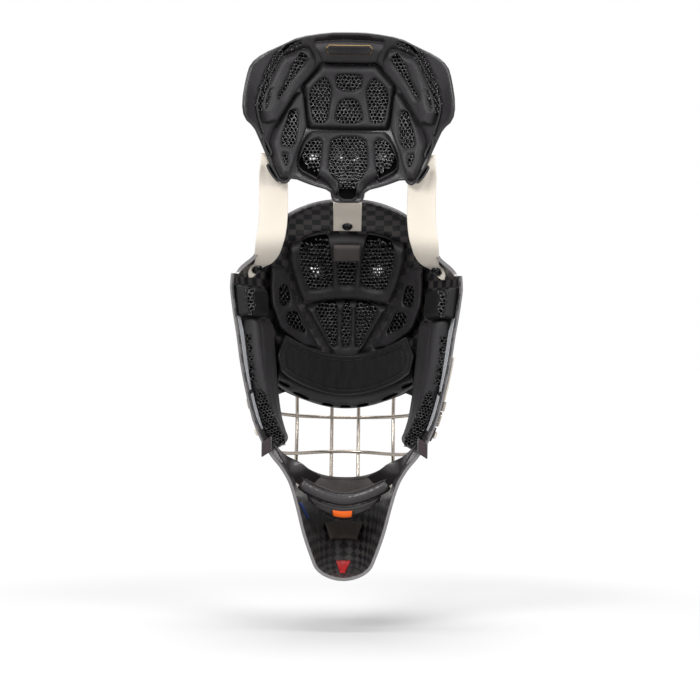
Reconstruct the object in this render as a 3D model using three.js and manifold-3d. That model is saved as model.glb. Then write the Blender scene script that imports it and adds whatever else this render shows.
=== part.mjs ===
// Ice-hockey goalie mask with its back plate flipped up.
// Millimetres. +Z runs from chin to crown, +Y from the wearer's neck to the face, origin in the head centre.
import * as THREE from 'three';
import * as BufferGeometryUtils from 'three/addons/utils/BufferGeometryUtils.js';
import Module from 'manifold-3d';

const wasm = await Module();
wasm.setup();

// Driving dimensions of the shell
const crownZ = 153;
const chinZ = -233.4;
const shellWall = 3.6;
const widestZ = 60;
const crownHalfWidth = 99.5;
const browZ = -30;
const browY = 75;
const crownRimY = -66;
const browRadiusY = 260;
const sideFlare = 17;
const sideSetback = 24;
const flareTopZ = 97;
const notchZ = 75.5;
const flareEndZ = -95;
const seatGap = 0.3;
const overrun = 20;

// Eye opening and vents
const eyeTopHalf = 80;
const eyeBottomHalf = 46;
const eyeTopZ = -36;
const eyeTopSag = 26;
const eyeBottomZ = -150;
const eyeCornerRadius = 16;
const ventRadius = 8;
const ventX = 33;
const ventZ = 87;

// Cage
const wireRadius = 1.95;
const frameWireRadius = 2.3;
const frameOverlap = 9;
const cageBulge = 13;
const cageSeat = 0.9;
const wireFadePower = 4;
const weldLiftPower = 6;
const clipBendFromShare = 1.7;
const clipBendToShare = 3.2;
const clipLipShare = 2.4;
const uprightXs = [-52, -14.5, 14.5, 52];
const crossZs = [-72, -107, -135, -141];

// Back plate
const plateWall = 3.2;
const plateTopZ = 320;
const plateWingHalf = 107.5;
const plateBottomZ = 160;
const tongueEndZ = 146;
const plateDepth = 62;
const plateEdgeY = -100;

// Padding and webbing
const linerThickness = 13;
const sidePadThickness = 16;
const padEdge = 4;
const strapThickness = 1.6;
const crownStrapWidth = 29;
const sideStrapWidth = 28;

// Rim below its widest height: share of the drop to the chin, share of the crown's half-width
const outlineShares = [
  [0, 1],
  [0.055, 0.984],
  [0.172, 0.956],
  [0.248, 0.952],
  [0.379, 0.93],
  [0.45, 0.905],
  [0.516, 0.85],
  [0.575, 0.742],
  [0.616, 0.646],
  [0.668, 0.56],
  [0.743, 0.492],
  [0.836, 0.422],
  [0.926, 0.33],
  [1, 0.24],
];
const outlineDropShares = outlineShares.map(([drop]) => drop);
const outlineWidthShares = outlineShares.map(([, width]) => width);
const crownPowerShare = 2.2;
const chinPowerShare = 2.3;
const browSquareShare = 0.82;
const chinSquareShare = 1.1;
const flareStartShare = 0.64;
const tipStartShare = 0.94;
const tipPowerShare = 2.6;
const flarePowerShare = 0.7;
const chinSetbackShare = 0.2;
const normalStep = 0.6;
const normalTurnShare = 0.008;
const rimTurnShare = 0.985;
const weldTolerance = 0.001;

const lerp = THREE.MathUtils.lerp;
const clamp = THREE.MathUtils.clamp;

function smooth(value, low, high) {
  return THREE.MathUtils.smoothstep(value, Math.min(low, high), Math.max(low, high));
}

// Monotone cubic through a table of shares
function throughShares(xs, ys, x) {
  const last = xs.length - 1;
  let i = 0;
  while (i < last - 1 && x > xs[i + 1]) i += 1;
  const slope = (k) => (ys[k + 1] - ys[k]) / (xs[k + 1] - xs[k]);
  const tangent = (k) => {
    if (k === 0) return slope(0);
    if (k === last) return slope(last - 1);
    const product = slope(k - 1) * slope(k);
    return product <= 0 ? 0 : (2 * product) / (slope(k - 1) + slope(k));
  };
  const span = xs[i + 1] - xs[i];
  const t = clamp((x - xs[i]) / span, 0, 1);
  const a = ys[i] * (1 + 2 * t) * (1 - t) ** 2 + ys[i + 1] * t ** 2 * (3 - 2 * t);
  return a + span * (tangent(i) * t * (1 - t) ** 2 + tangent(i + 1) * t ** 2 * (t - 1));
}

// Half-width of the shell's rim without its flared side panels
function rimHalfWidth(z) {
  if (z >= widestZ) {
    const rise = clamp((z - widestZ) / (crownZ - widestZ), 0, 1);
    return crownHalfWidth * (1 - rise ** crownPowerShare) ** (1 / crownPowerShare);
  }
  const drop = clamp((widestZ - z) / (widestZ - chinZ), 0, 1);
  const width = crownHalfWidth * throughShares(outlineDropShares, outlineWidthShares, drop);
  const tip = clamp((drop - tipStartShare) / (1 - tipStartShare), 0, 1);
  return width * Math.sqrt(1 - tip ** tipPowerShare);
}

// Front profile on the centre line
function frontY(z) {
  if (z >= browZ) {
    const centreY = browY - browRadiusY;
    const rimCosine = (crownRimY - centreY) / browRadiusY;
    const radiusZ = (crownZ - browZ) / Math.sqrt(1 - rimCosine ** 2);
    return centreY + browRadiusY * Math.sqrt(1 - ((z - browZ) / radiusZ) ** 2);
  }
  const drop = clamp((browZ - z) / (browZ - chinZ), 0, 1);
  return crownRimY + (browY - crownRimY) * (1 - drop ** chinPowerShare) ** (1 / chinPowerShare);
}

// Outer face of the shell at a height, where turn runs from -1 at the left rim over 0 to 1 at the right rim
function outerPoint(z, turn) {
  const angle = Math.abs(turn) * Math.PI / 2;
  const panel = (1 - smooth(z, notchZ, flareTopZ)) * smooth(Math.abs(turn), flareStartShare, 1);
  const flare = sideFlare * panel * smooth(z, flareEndZ, widestZ) ** flarePowerShare;
  const setback = sideSetback * panel * lerp(chinSetbackShare, 1, smooth(z, eyeBottomZ, eyeTopZ));
  const square = lerp(chinSquareShare, browSquareShare, smooth(z, eyeBottomZ, eyeTopZ));
  const x = rimHalfWidth(z) * Math.sin(angle) + flare;
  const y = crownRimY + (frontY(z) - crownRimY) * Math.max(Math.cos(angle), 0) ** square - setback;
  return new THREE.Vector3(Math.sign(turn) * x, y, z);
}

function outwardNormal(z, turn) {
  const pole = z > crownZ - normalStep || z < chinZ + normalStep;
  const side = pole ? 0 : clamp(turn, -rimTurnShare, rimTurnShare);
  const height = clamp(z, chinZ + 2 * normalStep, crownZ - 2 * normalStep);
  const along = outerPoint(height + normalStep, side).sub(outerPoint(height - normalStep, side));
  const before = outerPoint(height, side - normalTurnShare);
  const across = outerPoint(height, side + normalTurnShare).sub(before);
  return across.cross(along).normalize().negate();
}

// Point at a depth inside the shell's outer face
function skin(z, turn, depth) {
  return outerPoint(z, turn).addScaledVector(outwardNormal(z, turn), -depth);
}

function bisect(valueAt, wanted, low, high) {
  let a = low;
  let b = high;
  for (let i = 0; i < 30; i += 1) {
    const middle = (a + b) / 2;
    if (valueAt(middle) < wanted) a = middle;
    else b = middle;
  }
  return (a + b) / 2;
}

// Point inside the shell that lies at a given x as seen from behind
function skinAtX(x, z, depth) {
  return skin(z, bisect((turn) => skin(z, turn, depth).x, x, -1, 1), depth);
}

// Point inside one side wall of the shell that lies at a given y as seen from the side
function skinAtY(side, y, z, depth) {
  const turn = bisect((share) => -skin(z, share, depth).y, -y, 0, 1);
  return skin(z, side * turn, depth);
}

function closed(geometry) {
  geometry.deleteAttribute('normal');
  geometry.deleteAttribute('uv');
  const merged = BufferGeometryUtils.mergeVertices(geometry, weldTolerance);
  const source = merged.index.array;
  const kept = [];
  for (let i = 0; i < source.length; i += 3) {
    const [a, b, c] = [source[i], source[i + 1], source[i + 2]];
    if (a !== b && b !== c && c !== a) kept.push(a, b, c);
  }
  merged.setIndex(kept);
  return merged;
}

// Closed body between two faces, each a grid of points given by place(u, v, face)
function slab(columns, rows, place) {
  const points = [];
  for (let face = 0; face < 2; face += 1) {
    for (let row = 0; row <= rows; row += 1) {
      for (let column = 0; column <= columns; column += 1) {
        points.push(...place(column / columns, row / rows, face).toArray());
      }
    }
  }
  const at = (face, row, column) => (face * (rows + 1) + row) * (columns + 1) + column;
  const index = [];
  const quad = (a, b, c, d) => index.push(a, b, c, a, c, d);
  for (let row = 0; row < rows; row += 1) {
    for (let column = 0; column < columns; column += 1) {
      quad(at(1, row, column), at(1, row, column + 1), at(1, row + 1, column + 1), at(1, row + 1, column));
      quad(at(0, row, column), at(0, row + 1, column), at(0, row + 1, column + 1), at(0, row, column + 1));
    }
    quad(at(0, row, 0), at(1, row, 0), at(1, row + 1, 0), at(0, row + 1, 0));
    quad(at(1, row, columns), at(0, row, columns), at(0, row + 1, columns), at(1, row + 1, columns));
  }
  for (let column = 0; column < columns; column += 1) {
    quad(at(0, 0, column), at(0, 0, column + 1), at(1, 0, column + 1), at(1, 0, column));
    quad(at(1, rows, column), at(1, rows, column + 1), at(0, rows, column + 1), at(0, rows, column));
  }
  const geometry = new THREE.BufferGeometry();
  geometry.setAttribute('position', new THREE.Float32BufferAttribute(points, 3));
  geometry.setIndex(index);
  return outward(closed(geometry));
}

// Turns a closed mesh so that its faces point out
function outward(geometry) {
  const position = geometry.attributes.position;
  const index = geometry.index.array;
  const corner = (k) => new THREE.Vector3().fromBufferAttribute(position, index[k]);
  let volume = 0;
  for (let i = 0; i < index.length; i += 3) volume += corner(i).dot(corner(i + 1).cross(corner(i + 2)));
  if (volume < 0) {
    for (let i = 0; i < index.length; i += 3) [index[i], index[i + 1]] = [index[i + 1], index[i]];
  }
  return geometry;
}

function solid(geometry) {
  const ready = outward(closed(geometry));
  const vertProperties = new Float32Array(ready.attributes.position.array);
  const triVerts = new Uint32Array(ready.index.array);
  return new wasm.Manifold(new wasm.Mesh({ numProp: 3, vertProperties, triVerts }));
}

function fromSolid(manifold) {
  const mesh = manifold.getMesh();
  const geometry = new THREE.BufferGeometry();
  geometry.setAttribute('position', new THREE.BufferAttribute(mesh.vertProperties, 3));
  geometry.setIndex(new THREE.BufferAttribute(mesh.triVerts, 1));
  return geometry;
}

// Prism of a shape drawn in X and Z, running along Y
function prismAlongY(shape, fromY, toY) {
  const settings = { depth: toY - fromY, bevelEnabled: false, curveSegments: 5 };
  const geometry = new THREE.ExtrudeGeometry(shape, settings);
  geometry.rotateX(Math.PI / 2);
  geometry.translate(0, toY, 0);
  return solid(geometry);
}

function tube(points, radius, steps, loops) {
  const path = new THREE.CatmullRomCurve3(points, loops, 'centripetal');
  const section = new THREE.Shape();
  const sides = 6;
  for (let i = 0; i < sides; i += 1) {
    const angle = (i / sides) * 2 * Math.PI;
    section[i === 0 ? 'moveTo' : 'lineTo'](radius * Math.cos(angle), radius * Math.sin(angle));
  }
  section.closePath();
  return new THREE.ExtrudeGeometry(section, { steps, extrudePath: path, bevelEnabled: false });
}

// Round fastener turned about an axis, from a profile of radius and height pairs
function turned(profile, origin, axis, segments = 12) {
  const outline = profile.map(([radius, height]) => new THREE.Vector2(radius, height));
  const geometry = new THREE.LatheGeometry(outline, segments);
  geometry.applyQuaternion(new THREE.Quaternion().setFromUnitVectors(new THREE.Vector3(0, 1, 0), axis));
  geometry.translate(origin.x, origin.y, origin.z);
  return outward(closed(geometry));
}

const finishes = {
  carbon: { color: 0x2a2a2d, roughness: 0.3, metalness: 0.1 },
  steel: { color: 0xc9c6c0, roughness: 0.22, metalness: 1 },
  blackSteel: { color: 0x18181a, roughness: 0.4, metalness: 0.8 },
  plastic: { color: 0x2b2a2c, roughness: 0.5, metalness: 0 },
  foam: { color: 0x2e2c2d, roughness: 0.8, metalness: 0 },
  cloth: { color: 0x1f1d1e, roughness: 0.95, metalness: 0 },
  leather: { color: 0x3b3633, roughness: 0.55, metalness: 0 },
  elastic: { color: 0xf3e9da, roughness: 0.9, metalness: 0 },
  darkElastic: { color: 0x3a2f33, roughness: 0.9, metalness: 0 },
};

const mask = new THREE.Group();

function add(name, geometry, finish) {
  const mesh = new THREE.Mesh(geometry, new THREE.MeshStandardMaterial(finishes[finish]));
  mesh.name = name;
  mask.add(mesh);
}

const sides = [['l', -1], ['r', 1]];
const V = (x, y, z) => new THREE.Vector3(x, y, z);

// Shell: one double-curved wall, cut by the crown notch, the eye opening, the vents and the screw holes
const eyeSideShare = 0.69;
const frameSideShare = 0.76;
const cutterFromY = -40;
const cutterToY = 120;
const notchRadius = 5;

function shellLayer(fromDepth, toDepth) {
  const rows = 30;
  const columns = 20;
  return slab(columns, rows, (u, v, face) => {
    const z = lerp(crownZ, chinZ, (1 - Math.cos(Math.PI * v)) / 2);
    return skin(z, 2 * u - 1, lerp(fromDepth, toDepth, face));
  });
}

function eyeTopEdge(x) {
  return eyeTopZ - eyeTopSag * (1 - (x / eyeTopHalf) ** 2);
}

function eyeSideX(z) {
  return outerPoint(z, eyeSideShare).x;
}

function eyeShape() {
  const points = [];
  const half = [];
  const steps = 5;
  for (let i = 0; i <= steps; i += 1) {
    const x = (i / steps) * (eyeTopHalf - eyeCornerRadius);
    half.push([x, eyeTopEdge(x)]);
  }
  const sideTopZ = eyeTopZ - eyeCornerRadius;
  const sideBottomZ = eyeBottomZ + eyeCornerRadius;
  for (let i = 0; i <= steps; i += 1) {
    const z = lerp(sideTopZ, sideBottomZ, i / steps);
    half.push([eyeSideX(z), z]);
  }
  half.push([eyeSideX(sideBottomZ) - eyeCornerRadius / 2, eyeBottomZ + eyeCornerRadius / 3]);
  half.push([eyeSideX(sideBottomZ) - eyeCornerRadius, eyeBottomZ]);
  for (const [x, z] of half) points.push(new THREE.Vector2(x, z));
  for (const [x, z] of half.reverse()) if (x > 0) points.push(new THREE.Vector2(-x, z));
  return new THREE.Shape(points);
}

function notchSolid() {
  const shape = new THREE.Shape();
  const backY = crownRimY - sideSetback - overrun;
  const frontEdge = crownRimY - seatGap;
  shape.moveTo(backY, notchZ);
  shape.lineTo(frontEdge - notchRadius, notchZ);
  shape.absarc(frontEdge - notchRadius, notchZ + notchRadius, notchRadius, -Math.PI / 2, 0, false);
  shape.lineTo(frontEdge, flareTopZ + overrun);
  shape.lineTo(backY, flareTopZ + overrun);
  const width = crownHalfWidth + sideFlare + overrun;
  const settings = { depth: 2 * width, bevelEnabled: false, curveSegments: 4 };
  const geometry = new THREE.ExtrudeGeometry(shape, settings);
  geometry.rotateY(Math.PI / 2);
  geometry.rotateX(Math.PI / 2);
  geometry.translate(-width, 0, 0);
  return solid(geometry);
}

function pinSolid(origin, axis, radius, from, to, segments = 10) {
  const profile = [[0, from], [radius, from], [radius, to], [0, to]];
  return solid(turned(profile, origin, axis, segments));
}

// Places of the cage clips: height, turn, and the way each clip points away from the opening
const clipReach = 18.5;
const clipWidth = 9;
const clipSheet = 1.2;
const clipTopX = 33;
const clipSideZ = -84;
const clipChinX = 22;
const screwRadius = 2;
const screwClearance = 0.35;
const screwHeadRadius = 4;
const screwHeadHeight = 2;
const frameChinZ = eyeBottomZ - frameOverlap;

function turnAtX(x, z, depth) {
  return bisect((turn) => skin(z, turn, depth).x, x, -1, 1);
}

function clipPlaces() {
  const places = [];
  for (const [tag, side] of sides) {
    const topZ = eyeTopEdge(clipTopX) + frameOverlap;
    places.push({ name: `top_${tag}`, z: topZ, turn: turnAtX(side * clipTopX, topZ, 0), up: 1, out: 0 });
    places.push({ name: `side_${tag}`, z: clipSideZ, turn: side * frameSideShare, up: 0, out: side });
    const chinTurn = turnAtX(side * clipChinX, frameChinZ, 0);
    places.push({ name: `chin_${tag}`, z: frameChinZ, turn: chinTurn, up: -1, out: 0 });
  }
  return places;
}

// Point on a clip: along runs from the wire's outer side to the screw end, across is along the wire
function clipPoint(place, along, across, depth) {
  const fromTurn = outerPoint(place.z, place.turn - normalTurnShare);
  const toTurn = outerPoint(place.z, place.turn + normalTurnShare);
  const lengthPerTurn = toTurn.distanceTo(fromTurn) / (2 * normalTurnShare);
  if (place.out !== 0) return skin(place.z + across, place.turn + place.out * along / lengthPerTurn, depth);
  return skin(place.z + place.up * along, place.turn + across / lengthPerTurn, depth);
}

const screwAlong = clipReach - screwHeadRadius - 1.5 * clipSheet;

function screwFrame(place) {
  const origin = clipPoint(place, screwAlong, 0, 0);
  const inner = clipPoint(place, screwAlong, 0, shellWall);
  return { origin, axis: origin.clone().sub(inner).normalize() };
}

let shell = solid(shellLayer(0, shellWall)).subtract(notchSolid());
shell = shell.subtract(prismAlongY(eyeShape(), cutterFromY, cutterToY));
for (const [, side] of sides) {
  const vent = skinAtX(side * ventX, ventZ, shellWall / 2);
  shell = shell.subtract(pinSolid(vent, V(0, 1, 0), ventRadius, -overrun, overrun, 14));
}
for (const place of clipPlaces()) {
  const { origin, axis } = screwFrame(place);
  shell = shell.subtract(pinSolid(origin, axis, screwRadius + screwClearance, -2 * shellWall, shellWall, 8));
}

// Cage: a closed frame wire round the opening, cross wires and uprights welded to it
const crossRises = [15, 8, 3, 2];
const crossStandoffShares = [1, 1, 0.85, 0.45];
const weldShare = 0.82;

function cageDepth(turn, share) {
  const fade = 1 - Math.min(Math.abs(turn) / frameSideShare, 1) ** wireFadePower;
  return -(frameWireRadius + cageSeat + cageBulge * share * fade);
}

function framePath() {
  const half = [];
  const steps = 5;
  for (let i = 0; i < steps; i += 1) {
    const x = (i / steps) * eyeTopHalf;
    half.push([eyeTopEdge(x) + frameOverlap, turnAtX(x, eyeTopEdge(x) + frameOverlap, 0)]);
  }
  const [cornerTopZ, cornerTurn] = half[half.length - 1];
  const cornerSideZ = eyeTopZ - eyeCornerRadius;
  for (let i = 1; i <= steps; i += 1) {
    const angle = (1 - i / steps) * Math.PI / 2;
    const turn = lerp(cornerTurn, frameSideShare, Math.cos(angle));
    half.push([lerp(cornerSideZ, cornerTopZ, Math.sin(angle)), turn]);
  }
  for (let i = 1; i <= steps; i += 1) {
    half.push([lerp(cornerSideZ, eyeBottomZ + frameOverlap, i / steps), frameSideShare]);
  }
  const chinTurn = turnAtX(eyeBottomHalf - frameOverlap, frameChinZ, 0);
  half.push([frameChinZ + frameWireRadius, lerp(chinTurn, frameSideShare, 0.5)]);
  half.push([frameChinZ, chinTurn]);
  half.push([frameChinZ, chinTurn / 2]);
  const depth = -(frameWireRadius + cageSeat);
  const points = half.map(([z, turn]) => skin(z, turn, depth));
  points.push(skin(frameChinZ, 0, depth));
  for (const [z, turn] of half.reverse()) if (turn > 0) points.push(skin(z, -turn, depth));
  return points;
}

function crossPath(k) {
  const points = [];
  const steps = 10;
  for (let i = 0; i <= steps; i += 1) {
    const turn = frameSideShare * (2 * i / steps - 1);
    const z = crossZs[k] + crossRises[k] * (turn / frameSideShare) ** 2;
    points.push(skin(z, turn, cageDepth(turn, crossStandoffShares[k])));
  }
  return points;
}

function uprightPath(x) {
  const topZ = eyeTopEdge(x) + frameOverlap;
  const side = Math.abs(x);
  const frameX = (z) => outerPoint(z, frameSideShare).x;
  const bottomZ = side < eyeBottomHalf ? frameChinZ : bisect(frameX, side, frameChinZ, eyeTopZ);
  const points = [];
  const steps = 8;
  for (let i = 0; i <= steps; i += 1) {
    const z = lerp(topZ, bottomZ, i / steps);
    const turn = turnAtX(x, z, -cageBulge);
    const lift = (1 - (2 * i / steps - 1) ** weldLiftPower) * 2 * wireRadius * weldShare;
    const ends = smooth(i, 0, 2) * smooth(steps - i, 0, 2);
    points.push(skin(z, turn, cageDepth(turn, ends) - lift));
  }
  return points;
}

let cage = solid(tube(framePath(), frameWireRadius, 48, true));
for (let k = 0; k < crossZs.length; k += 1) {
  cage = cage.add(solid(tube(crossPath(k), wireRadius, 14, false)));
}
for (const x of uprightXs) cage = cage.add(solid(tube(uprightPath(x), wireRadius, 10, false)));

add('shell', fromSolid(shell), 'carbon');
add('cage', fromSolid(cage), 'steel');

for (const place of clipPlaces()) {
  const lift = 2 * frameWireRadius + cageSeat + 2 * seatGap;
  const sheet = slab(2, 8, (u, v, face) => {
    const along = lerp(-clipLipShare * frameWireRadius, clipReach, v);
    const bendFrom = frameWireRadius * clipBendFromShare;
    const bendTo = frameWireRadius * clipBendToShare;
    const bump = lift * (1 - smooth(Math.abs(along), bendFrom, bendTo));
    return clipPoint(place, along, (u - 0.5) * clipWidth, -(seatGap + bump + face * clipSheet));
  });
  const { origin, axis } = screwFrame(place);
  const hole = pinSolid(origin, axis, screwRadius + screwClearance, -shellWall, 3 * shellWall, 8);
  add(`cage_clip_${place.name}`, fromSolid(solid(sheet).subtract(hole)), 'steel');
  const underHead = 2 * seatGap + clipSheet + seatGap;
  const profile = [
    [0, -shellWall + seatGap],
    [screwRadius, -shellWall + seatGap],
    [screwRadius, underHead],
    [screwHeadRadius, underHead],
    [screwHeadRadius * 0.8, underHead + screwHeadHeight * 0.8],
    [0, underHead + screwHeadHeight],
  ];
  add(`clip_screw_${place.name}`, turned(profile, origin, axis, 8), 'steel');
}

// Back plate: a dished sheet trimmed to its outline, with vents
const plateWingZ = 238;
const plateSpreadX = 112;
const plateSpreadZ = 96;
const plateWaistZ = 198;
const plateVentRadius = 5;
const plateVentZ = 194;
const plateVentXs = [-36, -8, 8, 36];
const plateAcrossPowerShare = 2.3;
const plateUpPowerShare = 2.4;
const plateNormalStep = 1.5;

function plateY(x, z) {
  const across = Math.max(0, 1 - (Math.abs(x) / plateSpreadX) ** plateAcrossPowerShare);
  const up = Math.max(0, 1 - (Math.abs(z - plateWingZ) / plateSpreadZ) ** plateUpPowerShare);
  return plateEdgeY + plateDepth * across * up;
}

// Point on the back plate at a depth inside its outer face
function platePoint(x, z, depth) {
  const slopeX = (plateY(x + plateNormalStep, z) - plateY(x - plateNormalStep, z)) / (2 * plateNormalStep);
  const slopeZ = (plateY(x, z + plateNormalStep) - plateY(x, z - plateNormalStep)) / (2 * plateNormalStep);
  const normal = V(slopeX, -1, slopeZ).normalize();
  return V(x, plateY(x, z), z).addScaledVector(normal, depth);
}

// Half outline of the plate: shares of its half-width, and shares of its height above the tongue's end
const plateOutlineShares = [
  [0, 1],
  [0.205, 0.997],
  [0.474, 0.971],
  [0.6, 0.934],
  [0.815, 0.868],
  [0.925, 0.805],
  [0.965, 0.72],
  [1, 0.575],
  [0.98, 0.485],
  [0.89, 0.44],
  [0.845, 0.38],
  [0.787, 0.299],
  [0.7, 0.175],
  [0.624, 0.112],
  [0.56, 0.118],
  [0.53, 0.155],
  [0.34, 0.108],
  [0.165, 0.078],
  [0.153, 0.024],
  [0.117, 0],
  [0, 0],
];

function plateShape() {
  const half = plateOutlineShares.map(([x, z]) => [x * plateWingHalf, lerp(tongueEndZ, plateTopZ, z)]);
  const points = half.map(([x, z]) => new THREE.Vector2(x, z));
  for (const [x, z] of half.reverse()) if (x > 0) points.push(new THREE.Vector2(-x, z));
  return new THREE.Shape(points);
}

function plateLayer(fromDepth, toDepth) {
  return slab(16, 13, (u, v, face) => {
    const x = (2 * u - 1) * (plateWingHalf + overrun / 2);
    const z = lerp(plateTopZ + overrun / 2, tongueEndZ - overrun / 2, v);
    return platePoint(x, z, lerp(fromDepth, toDepth, face));
  });
}
const plateFromY = plateEdgeY - overrun;
const plateToY = plateEdgeY + plateDepth + overrun;
let plate = solid(plateLayer(0, plateWall)).intersect(prismAlongY(plateShape(), plateFromY, plateToY));
for (const x of plateVentXs) {
  const axis = V(0, 1, 0);
  plate = plate.subtract(pinSolid(V(x, 0, plateVentZ), axis, plateVentRadius, plateFromY, plateToY, 8));
}
add('back_plate_shell', fromSolid(plate), 'plastic');

const crownedPowerShare = 5;
const drawnShare = 0.95;
const wellShare = 0.25;
const bandThickness = 6;
const platePadThickness = 12;

// Padding: a crowned patch on the inside of a wall, between left and right edges given row by row
function eased(share) {
  return (1 - Math.cos(Math.PI * share)) / 2;
}

function alongRows(rows, v, item) {
  const position = v * (rows.length - 1);
  const k = Math.min(Math.floor(position), rows.length - 2);
  return lerp(rows[k][item], rows[k + 1][item], position - k);
}

function crowned(share) {
  return Math.sqrt(Math.max(0, 1 - Math.abs(2 * share - 1) ** crownedPowerShare));
}

function pad(rows, thickness, place, options = {}) {
  const { columns = 8, lines = 7, topBow = 0, endBow = 0, wells = [], base = 0 } = options;
  return slab(columns, lines, (s, t, face) => {
    const u = eased(s);
    const v = eased(t);
    const arch = 1 - (2 * u - 1) ** 2;
    const drawn = face === 1 ? drawnShare : 1;
    const left = alongRows(rows, v, 1);
    const right = alongRows(rows, v, 2);
    const middle = (left + right) / 2;
    const x = middle + (lerp(left, right, u) - middle) * drawn;
    const z = alongRows(rows, v, 0) + arch * lerp(topBow, endBow, v);
    let height = lerp(padEdge, thickness, crowned(u) * crowned(v));
    for (const [u0, u1, v0, v1] of wells) {
      const inside = u > u0 && u < u1 && v > v0 && v < v1;
      if (inside) height -= thickness * wellShare;
    }
    const sunk = base === 0 ? -seatGap * 4 : base + seatGap;
    return place(x, z, face === 0 ? sunk : base + seatGap + height);
  });
}

// Clear space round a wall that the padding on it stays out of
const shellKeepOut = solid(shellLayer(-shellWall, shellWall + seatGap));
const plateKeepOut = solid(plateLayer(-plateWall, plateWall + seatGap));

function seated(geometry, keepOut) {
  return fromSolid(solid(geometry).subtract(keepOut));
}

const onShell = (x, z, depth) => skinAtX(x, z, shellWall + depth);
const onPlate = (x, z, depth) => platePoint(x, z, plateWall + depth);
const onWall = (side) => (y, z, depth) => skinAtY(side, y, z, shellWall + depth);

// Rows of a pad on the shell: shares of the crown's height and half-width
function shellRows(shares) {
  return shares.map(([z, left, right]) => [z * crownZ, left * crownHalfWidth, right * crownHalfWidth]);
}

// Rows of a pad on a side wall: shares of the crown's height, and of the depth from rim to brow
function wallRows(shares) {
  const deep = (share) => crownRimY + share * (browY - crownRimY);
  return shares.map(([z, back, front]) => [z * crownZ, deep(back), deep(front)]);
}

// Rows of a pad on the back plate: shares of its height above the tongue's end, and of its half-width
function plateRows(shares) {
  const high = (share) => lerp(tongueEndZ, plateTopZ, share);
  return shares.map(([z, left, right]) => [high(z), left * plateWingHalf, right * plateWingHalf]);
}

function both(shares) {
  return shares.map(([z, half]) => [z, -half, half]);
}

function onSide(shares, side) {
  return shares.map(([z, near, far]) => (side < 0 ? [z, -far, -near] : [z, near, far]));
}

function addShellPad(name, rows, thickness, place, options) {
  add(name, seated(pad(rows, thickness, place, options), shellKeepOut), 'foam');
}

function addPlatePad(name, rows, options) {
  add(name, seated(pad(rows, platePadThickness, onPlate, options), plateKeepOut), 'foam');
}

const windowShares = [[0.08, 0.34, 0.12, 0.88], [0.4, 0.6, 0.12, 0.88], [0.66, 0.92, 0.12, 0.88]];
const crownTopShares = [[0.745, 0.593], [0.68, 0.613], [0.605, 0.593], [0.484, 0.543], [0.34, 0.462]];
const crownLowerShares = [[0.32, 0.438], [0.157, 0.3], [0, 0.16], [-0.15, 0.14]];
const crownTabShares = [[0.778, 0.15], [0.673, 0.15]];
const foreheadShares = [[-0.092, 0.703], [-0.176, 0.723], [-0.252, 0.733]];
const bandShares = [[0.105, 0.64], [-0.04, 0.714], [-0.157, 0.68], [-0.203, 0.6]];
const crownBow = 10;
const crownSeamBow = 8;
const foreheadTopBow = -20;
const foreheadEdgeBow = -25;
const bandTopBow = -18;
const bandEdgeBow = -19;
const upperOptions = { columns: 12, lines: 7, topBow: crownBow, endBow: crownSeamBow, wells: windowShares };
addShellPad('crown_pad_upper', shellRows(both(crownTopShares)), linerThickness, onShell, upperOptions);
const lowerOptions = { columns: 12, lines: 7, topBow: crownSeamBow, wells: windowShares };
addShellPad('crown_pad_lower', shellRows(both(crownLowerShares)), linerThickness, onShell, lowerOptions);
const tabOptions = { columns: 4, lines: 4, base: linerThickness + 2 * seatGap };
add('crown_tab', pad(shellRows(both(crownTabShares)), padEdge, onShell, tabOptions), 'foam');
const foreheadOptions = { columns: 12, lines: 4, topBow: foreheadTopBow, endBow: foreheadEdgeBow };
addShellPad('forehead_pad', shellRows(both(foreheadShares)), linerThickness, onShell, foreheadOptions);
const bandBase = linerThickness + 3 * seatGap;
const bandOptions = { columns: 12, lines: 6, topBow: bandTopBow, endBow: bandEdgeBow, base: bandBase };
add('sweatband', pad(shellRows(both(bandShares)), bandThickness, onShell, bandOptions), 'cloth');

const templeShares = [
  [0.588, 0.66, 0.79],
  [0.45, 0.6, 0.8],
  [0.314, 0.52, 0.79],
  [0.14, 0.39, 0.7],
  [0.026, 0.29, 0.46],
];
const earShares = [[0.418, -0.128, 0.27], [0.209, -0.142, 0.31]];
const jawShares = [
  [0.19, -0.12, 0.36],
  [-0.12, -0.085, 0.42],
  [-0.38, 0.02, 0.42],
  [-0.56, 0.13, 0.4],
  [-0.68, 0.2, 0.37],
];
for (const [tag, side] of sides) {
  const temple = shellRows(onSide(templeShares, side));
  addShellPad(`temple_pad_${tag}`, temple, linerThickness, onShell, { columns: 6, lines: 8 });
  const wall = onWall(side);
  addShellPad(`ear_pad_${tag}`, wallRows(earShares), sidePadThickness, wall, { columns: 6, lines: 5 });
  addShellPad(`jaw_pad_${tag}`, wallRows(jawShares), sidePadThickness, wall, { columns: 6, lines: 10 });
}
const chinTabShares = [[-1.203, 0.201], [-1.32, 0.141]];
addShellPad('chin_tab_pad', shellRows(both(chinTabShares)), padEdge, onShell, { columns: 4, lines: 3 });

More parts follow.
